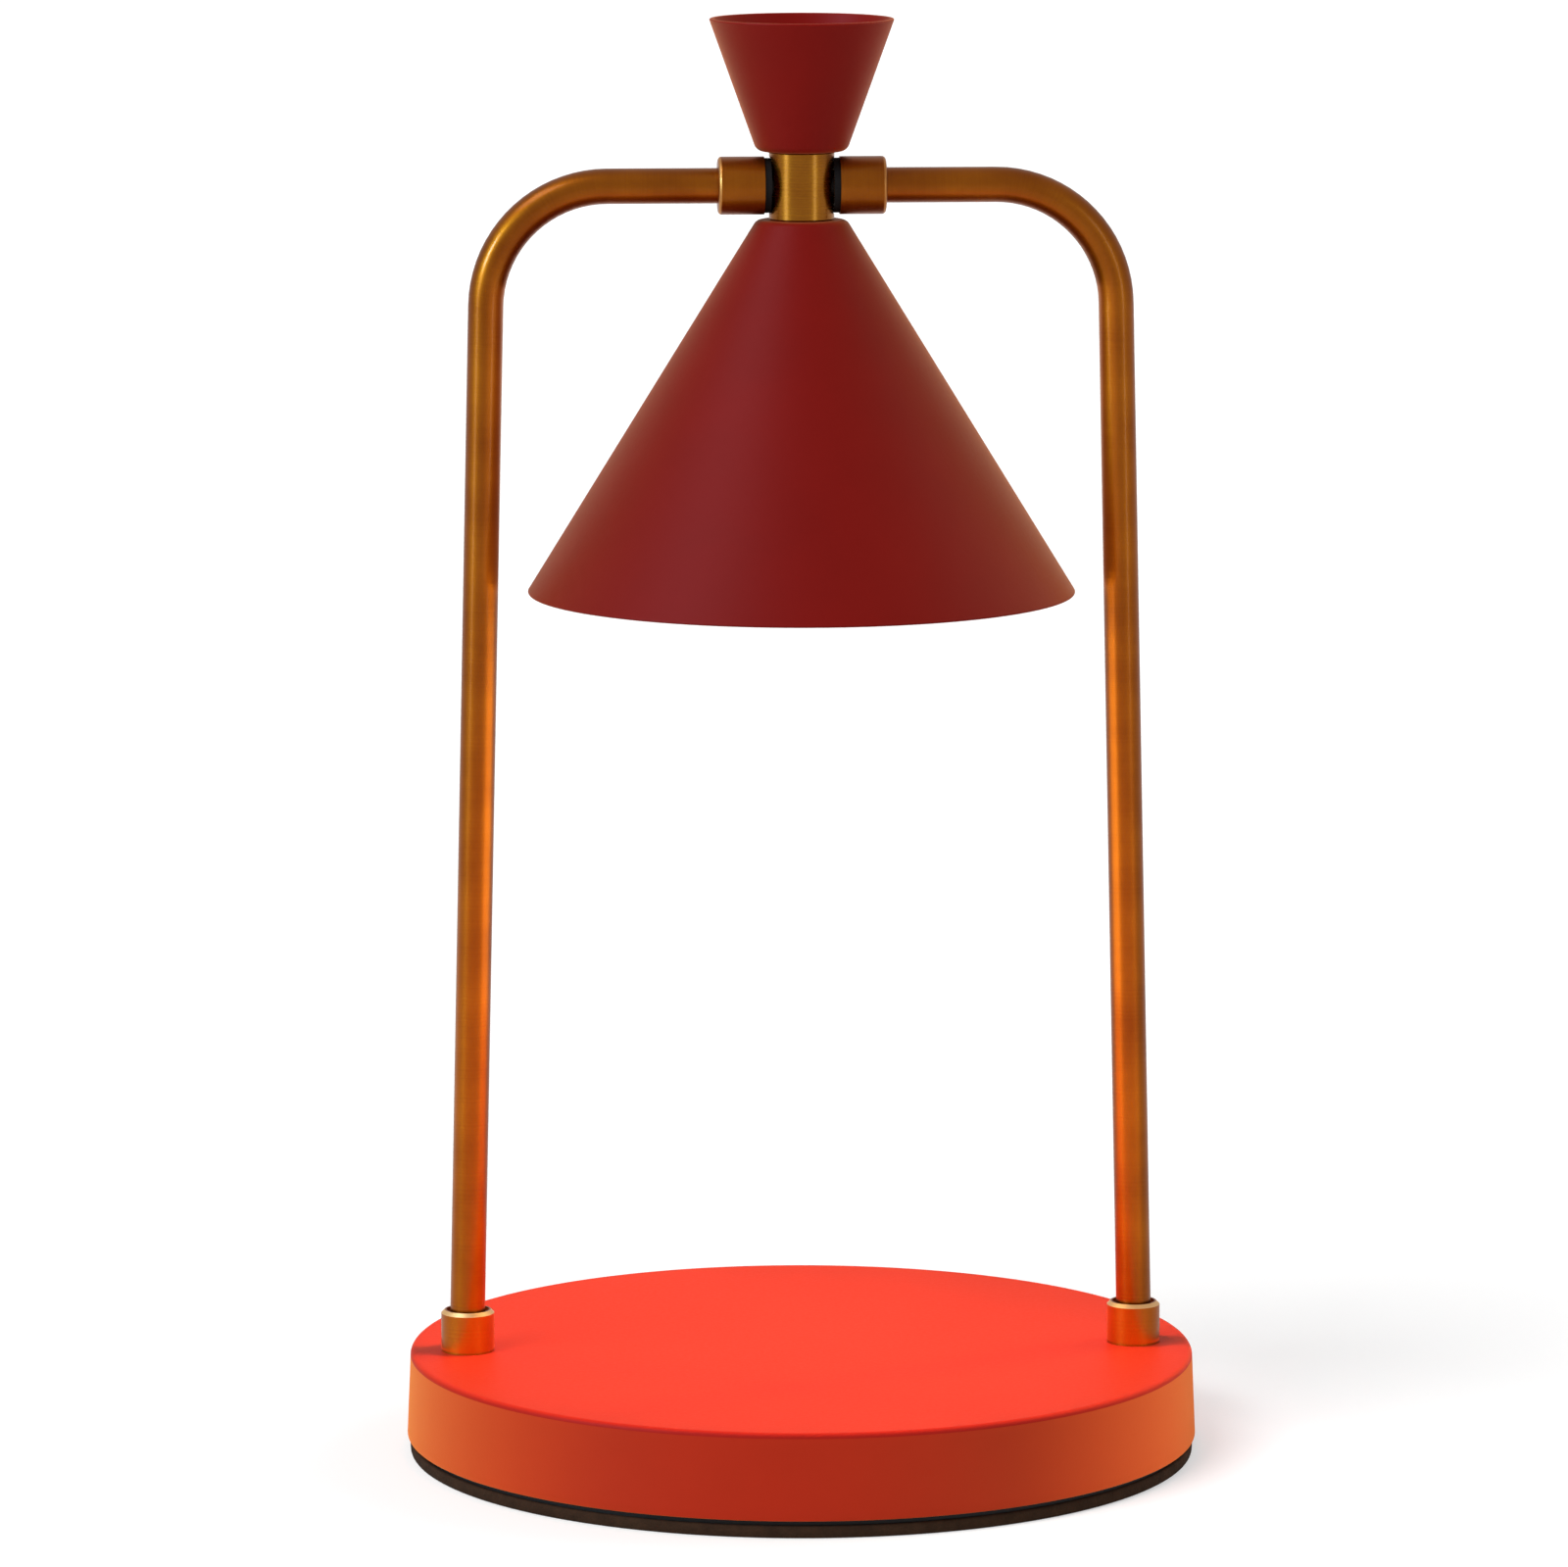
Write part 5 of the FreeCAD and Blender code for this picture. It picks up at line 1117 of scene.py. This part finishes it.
# tungsten coil across the capsule and the two wires that carry it
filamentShape = {
    "coil": 0.55,
    "wire": 0.09,
    "wireSides": 6,
    "turns": 14,
    "perTurn": 12,
    "half": 2.0,
    "lift": 7.0,
    "stemWire": 0.22,
    # a stem's reach as a share of the coil's half length, and its height over the coil
    "stem": ((1.0, -0.3), (1.04, 1.5), (1.1, 3.6), (1.3, 5.4)),
    "stemEnd": (1.5, 0.4),  # its last reach, and how far under the capsule's top
}


def sweepWire(bm, route, radius, sides=8, slot=0):  # a round wire along a list of points in millimetres
    rings = []
    for index, point in enumerate(route):
        along = (route[min(index + 1, len(route) - 1)] - route[max(index - 1, 0)]).normalized()
        frameTurn = along.to_track_quat("Z", "Y").to_matrix()
        rings.append([
            bm.verts.new((point + frameTurn @ Vector((radius * math.cos(a), radius * math.sin(a), 0))) * mm)
            for a in (2 * math.pi * side / sides for side in range(sides))
        ])
    for near, far in zip(rings, rings[1:]):
        for side in range(sides):
            after = (side + 1) % sides
            face = bm.faces.new((near[side], near[after], far[after], far[side]))
            face.material_index = slot
    for end in (rings[0][::-1], rings[-1]):
        bm.faces.new(end).material_index = slot


def makeFilament(filament):
    low, high = boxOf("bulb_capsule")
    level = low.z + filament["lift"]
    count = filament["turns"] * filament["perTurn"]
    coil = []
    for n in range(count + 1):
        angle = 2 * math.pi * n / filament["perTurn"]
        out, up = filament["coil"] * math.cos(angle), filament["coil"] * math.sin(angle)
        coil.append(Vector((filament["half"] * (2 * n / count - 1), out, level + up)))
    bm = bmesh.new()
    sweepWire(bm, coil, filament["wire"], sides=filament["wireSides"], slot=1)
    endReach, endUnder = filament["stemEnd"]
    for side in (-1, 1):
        reach = side * filament["half"]
        stem = [Vector((reach * share, 0, level + up)) for share, up in filament["stem"]]
        stem.append(Vector((reach * endReach, 0, high.z - endUnder)))
        sweepWire(bm, stem, filament["stemWire"])
    piece = addPiece(bm, "bulbFilament", (pinNickel, tungsten))
    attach(piece, "bulb")


makeFilament(filamentShape)
print("bulb made")

# floor: pale and diffuse, with a share of its own light for what the camera and the metal see
floorSheet = {
    "near": -3.0,
    "far": 14.0,
    "half": 8.0,
    "below": 0.05,
    "colour": "#D4D4D4",
    "ownLight": 0.42,
    "glossLight": 0.2,
}


def makeFloor(sheet):
    level = -sheet["below"] * mm
    near, far, half = sheet["near"], sheet["far"], sheet["half"]
    corners = ((-half, near, level), (half, near, level), (half, far, level), (-half, far, level))
    mesh = bpy.data.meshes.new("floor")
    mesh.from_pydata(corners, [], [(0, 1, 2, 3)])
    floor = bpy.data.objects.new("floor", mesh)
    scene.collection.objects.link(floor)
    material = bpy.data.materials.new("mattePaperSweep")
    material.use_nodes = True
    tree = material.node_tree
    tree.nodes.clear()
    paper = addNode(tree, "BsdfDiffuse", {"Color": linearColour(sheet["colour"])})
    rays = addNode(tree, "LightPath")
    straight = {0: rays.outputs["Is Camera Ray"], 1: rays.outputs["Is Transmission Ray"]}
    seen = addNode(tree, "Math", {"operation": "MAXIMUM"}, straight)
    plain = addNode(tree, "Math", {"operation": "MULTIPLY", 1: sheet["ownLight"]}, {0: seen.outputs[0]})
    mirrored = {0: rays.outputs["Is Glossy Ray"], 2: plain.outputs[0]}
    strength = addNode(tree, "Math", {"operation": "MULTIPLY_ADD", 1: sheet["glossLight"]}, mirrored)
    light = addNode(tree, "Emission", links={"Strength": strength.outputs[0]})
    both = addNode(tree, "AddShader", links={0: paper.outputs[0], 1: light.outputs[0]})
    addNode(tree, "OutputMaterial", links={"Surface": both.outputs[0]})
    mesh.materials.append(material)
    return floor


floor = makeFloor(floorSheet)

studio = {
    "air": 0.38,  # even light from all round
    "airSheen": 0.66,  # the same, as the gloss mirrors it
    # where a sun comes from: degrees to the right of the lamp's front, and degrees up
    "keySun": {"from": (-50.0, 50.0), "width": 34.0, "strength": 2.2, "colour": "#FFFFFF"},
    "fillSun": {"from": (110.0, 26.0), "width": 50.0, "strength": 1.0, "colour": "#FFFFFF"},
}


def setWorld(light):
    world = bpy.data.worlds.new("studioAir")
    scene.world = world
    world.use_nodes = True
    tree = world.node_tree
    tree.nodes.clear()
    rays = addNode(tree, "LightPath")
    straight = {0: rays.outputs["Is Camera Ray"], 1: rays.outputs["Is Transmission Ray"]}
    seen = addNode(tree, "Math", {"operation": "MAXIMUM"}, straight)
    levels = {"To Min": light["air"], "To Max": light["airSheen"]}
    plain = addNode(tree, "MapRange", levels, {"Value": rays.outputs["Is Glossy Ray"]})
    ends = {"Value": seen.outputs[0], "To Min": plain.outputs["Result"]}
    strength = addNode(tree, "MapRange", {"To Max": 1.0}, ends)
    sky = addNode(
        tree,
        "Background",
        {"Color": linearColour("#FFFFFF")},
        {"Strength": strength.outputs["Result"]},
    )
    addNode(tree, "OutputWorld", links={"Surface": sky.outputs[0]})


def addSun(name, sunlight):
    across, up = (math.radians(angle) for angle in sunlight["from"])
    towards = Vector((math.sin(across) * math.cos(up), -math.cos(across) * math.cos(up), math.sin(up)))
    light = bpy.data.lights.new(name, "SUN")
    light.energy = sunlight["strength"]
    light.angle = math.radians(sunlight["width"])
    light.color = linearColour(sunlight["colour"])[:3]
    sun = bpy.data.objects.new(name, light)
    sun.rotation_euler = towards.to_track_quat("Z", "Y").to_euler()
    sun.visible_glossy = False
    scene.collection.objects.link(sun)
    return sun


setWorld(studio)
for name in ("keySun", "fillSun"):
    addSun(name, studio[name])

# low warm light from behind both sides, which only the base takes: it brightens the ends of its wall
rearGlow = (
    {"from": (-122.0, 5.0), "width": 8.0, "strength": 1.4, "colour": "#FFC890"},
    {"from": (118.0, 5.0), "width": 8.0, "strength": 2.3, "colour": "#FFC890"},
)
baseOnly = bpy.data.collections.new("baseOnly")
baseOnly.objects.link(shellPiece)
for glow in rearGlow:
    addSun("rearGlow", glow).light_linking.receiver_collection = baseOnly


def addPanel(name, size, panel, spot, turn, receivers=None):
    # an even area light that only gloss sees, on the receivers or on everything; its size is a width and
    # height, or a diameter
    light = bpy.data.lights.new(name, "AREA")
    light.shape = "RECTANGLE" if len(size) == 2 else "DISK"
    light.size, light.size_y = size[0], size[-1]
    area = size[0] * size[-1] * (1 if len(size) == 2 else math.pi / 4)
    light.energy = panel["radiance"] * math.pi * area
    light.color = linearColour(panel["colour"])[:3]
    lamp = bpy.data.objects.new(name, light)
    lamp.location = spot
    lamp.rotation_euler = turn
    lamp.visible_diffuse = False
    lamp.visible_camera = False
    lamp.light_linking.receiver_collection = receivers
    scene.collection.objects.link(lamp)
    return lamp


# tall soft boxes: they draw the upright bands on tubes, hub and collars
softBoxes = {
    "leftBox": {
        "across": -60.0, "away": 1.5, "middle": 0.30, "size": (0.34, 1.3),
        "radiance": 5.2, "colour": "#C0E8FF",
    },
    "leftHotBox": {
        "across": -62.0, "away": 1.4, "middle": 0.75, "size": (0.26, 0.36),
        "radiance": 72.0, "colour": "#A0E0FF",
    },
    "highBox": {
        "across": -66.0, "away": 0.86, "middle": 1.45, "size": (0.8, 0.5),
        "radiance": 6.0, "colour": "#E0F2FF",
    },
    "rightBox": {
        "across": 44.0, "away": 1.5, "middle": 0.30, "size": (0.20, 1.3),
        "radiance": 5.4, "colour": "#C0E8FF",
    },
}
boxTarget = Vector((0, 0, 0.25))
for name, box in softBoxes.items():
    across = math.radians(box["across"])
    spot = Vector((math.sin(across) * box["away"], -math.cos(across) * box["away"], box["middle"]))
    addPanel(name, box["size"], box, spot, (spot - boxTarget).to_track_quat("Z", "Y").to_euler())

# the lit bulb: a warm disc just under the front glass, which goes with the head and leaves the paper white
bulbLight = {
    "radius": 21.0,
    "under": 0.6,
    "radiance": 125.0,
    "colour": "#FFC890",
    "spill": 0.4,
    "spillSize": 5.0,
    "spillUnder": 6.0,
}
offPaper = bpy.data.collections.new("offPaper")
offPaper.objects.link(floor)
offPaper.collection_objects[0].light_linking.link_state = "EXCLUDE"


def addBulbLight(glow):
    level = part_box("bulb_lens")[0].z
    size, spot = (2 * glow["radius"] * mm,), (0, 0, level - glow["under"] * mm)
    lamp = addPanel("bulbLight", size, glow, spot, (0, 0, 0), offPaper)
    lamp.visible_diffuse = True
    lamp.visible_glossy = False
    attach(lamp, "head")
    spill = bpy.data.lights.new("bulbSpill", "POINT")
    spill.energy = glow["spill"]
    spill.shadow_soft_size = glow["spillSize"] * mm
    spill.color = lamp.data.color
    spillLamp = bpy.data.objects.new("bulbSpill", spill)
    spillLamp.location = (0, 0, level - glow["spillUnder"] * mm)
    spillLamp.visible_camera = False
    spillLamp.visible_glossy = False
    spillLamp.light_linking.receiver_collection = offPaper
    scene.collection.objects.link(spillLamp)
    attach(spillLamp, "head")


addBulbLight(bulbLight)

# lights that only the arms and their foot collars mirror
armsOnly = bpy.data.collections.new("armsOnly")
leftOnly = bpy.data.collections.new("leftOnly")
for name in ("arm_left", "foot_collar_left", "arm_right", "foot_collar_right"):
    armsOnly.objects.link(nodes[name])
    if name.endswith("left"):
        leftOnly.objects.link(nodes[name])


def addUpright(name, panel, x, y, turn, receivers):  # an upright panel between two heights, in millimetres
    size = (panel["width"] * mm, (panel["high"] - panel["low"]) * mm)
    spot = Vector((x, y, (panel["low"] + panel["high"]) / 2)) * mm
    return addPanel(name, size, panel, spot, (math.radians(90), 0, turn), receivers)


# what the bulb lights between the arms, as their inner sides mirror it: upright strips that face each arm
# from past the middle, and the highest from between the shade and the arm
pastMiddle = {"reach": -28.0, "front": 28.0, "width": 100.0}
besideShade = {"reach": 64.5, "front": 0.0, "width": 58.0}
innerGlow = (
    {**pastMiddle, "low": 84.0, "high": 178.0, "radiance": 3.1, "colour": "#FFF2A8"},
    {**pastMiddle, "low": 42.0, "high": 84.0, "radiance": 2.4, "colour": "#FFA360"},
    {**besideShade, "low": 198.0, "high": 268.0, "radiance": 0.45, "colour": "#FFE8C8"},
)
for strip in innerGlow:
    for side in (-1, 1):
        turn = math.radians(side * -90)
        lamp = addUpright("innerGlow", strip, side * strip["reach"], -strip["front"], turn, armsOnly)
        lamp.light_linking.blocker_collection = armsOnly  # the shade's rim leaves no hard edge in it

# the lit red top as the collars and the legs' feet mirror it
baseGlow = {"radius": 84.0, "lift": 0.5, "radiance": 1.1, "colour": "#FF5A2C"}
spot = (0, 0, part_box("base_shell")[1].z + baseGlow["lift"] * mm)
addPanel("baseGlow", (2 * baseGlow["radius"] * mm,), baseGlow, spot, (math.pi, 0, 0), armsOnly)

# the warm table round the lamp, as the legs' lower halves mirror it: low panels that face the legs, two in
# front and one at the left for the left leg alone
inFront = {"across": 0.0, "away": 140.0, "width": 600.0, "colour": "#FFA040"}
atLeft = {"across": -100.0, "away": 240.0, "width": 300.0, "colour": "#FFEC90"}
tablePanels = (
    {**inFront, "low": 2.0, "high": 100.0, "radiance": 0.8},
    {**inFront, "low": 100.0, "high": 150.0, "radiance": 0.4},
    {**atLeft, "low": 2.0, "high": 110.0, "radiance": 0.6},
)
for panel in tablePanels:
    across, away = math.radians(panel["across"]), panel["away"]
    receivers = leftOnly if across else armsOnly
    addUpright("tablePanel", panel, math.sin(across) * away, -math.cos(across) * away, across, receivers)
print("studio set")

# the camera stands low in front, a little left of the lamp's middle
view = {
    "lens": 194.148,
    "sensor": 36.0,
    "across": -3.54,
    "away": 1.9083,
    "height": 0.4474,
    "down": 8.72,
    "aside": -3.99 * mm,
}


def setCamera(view):
    across = math.radians(view["across"])
    camera = bpy.data.cameras.new("camera")
    camera.sensor_width = view["sensor"]
    camera.lens = view["lens"]
    stand = bpy.data.objects.new("camera", camera)
    right = Vector((math.cos(across), math.sin(across), 0))
    back = Vector((math.sin(across), -math.cos(across), 0))
    stand.location = back * view["away"] + right * view["aside"] + Vector((0, 0, view["height"]))
    stand.rotation_euler = (math.radians(90 - view["down"]), 0, across)
    scene.collection.objects.link(stand)
    bpy.context.scene.camera = stand


setCamera(view)
scene.view_settings.view_transform = "Standard"
print("camera set")
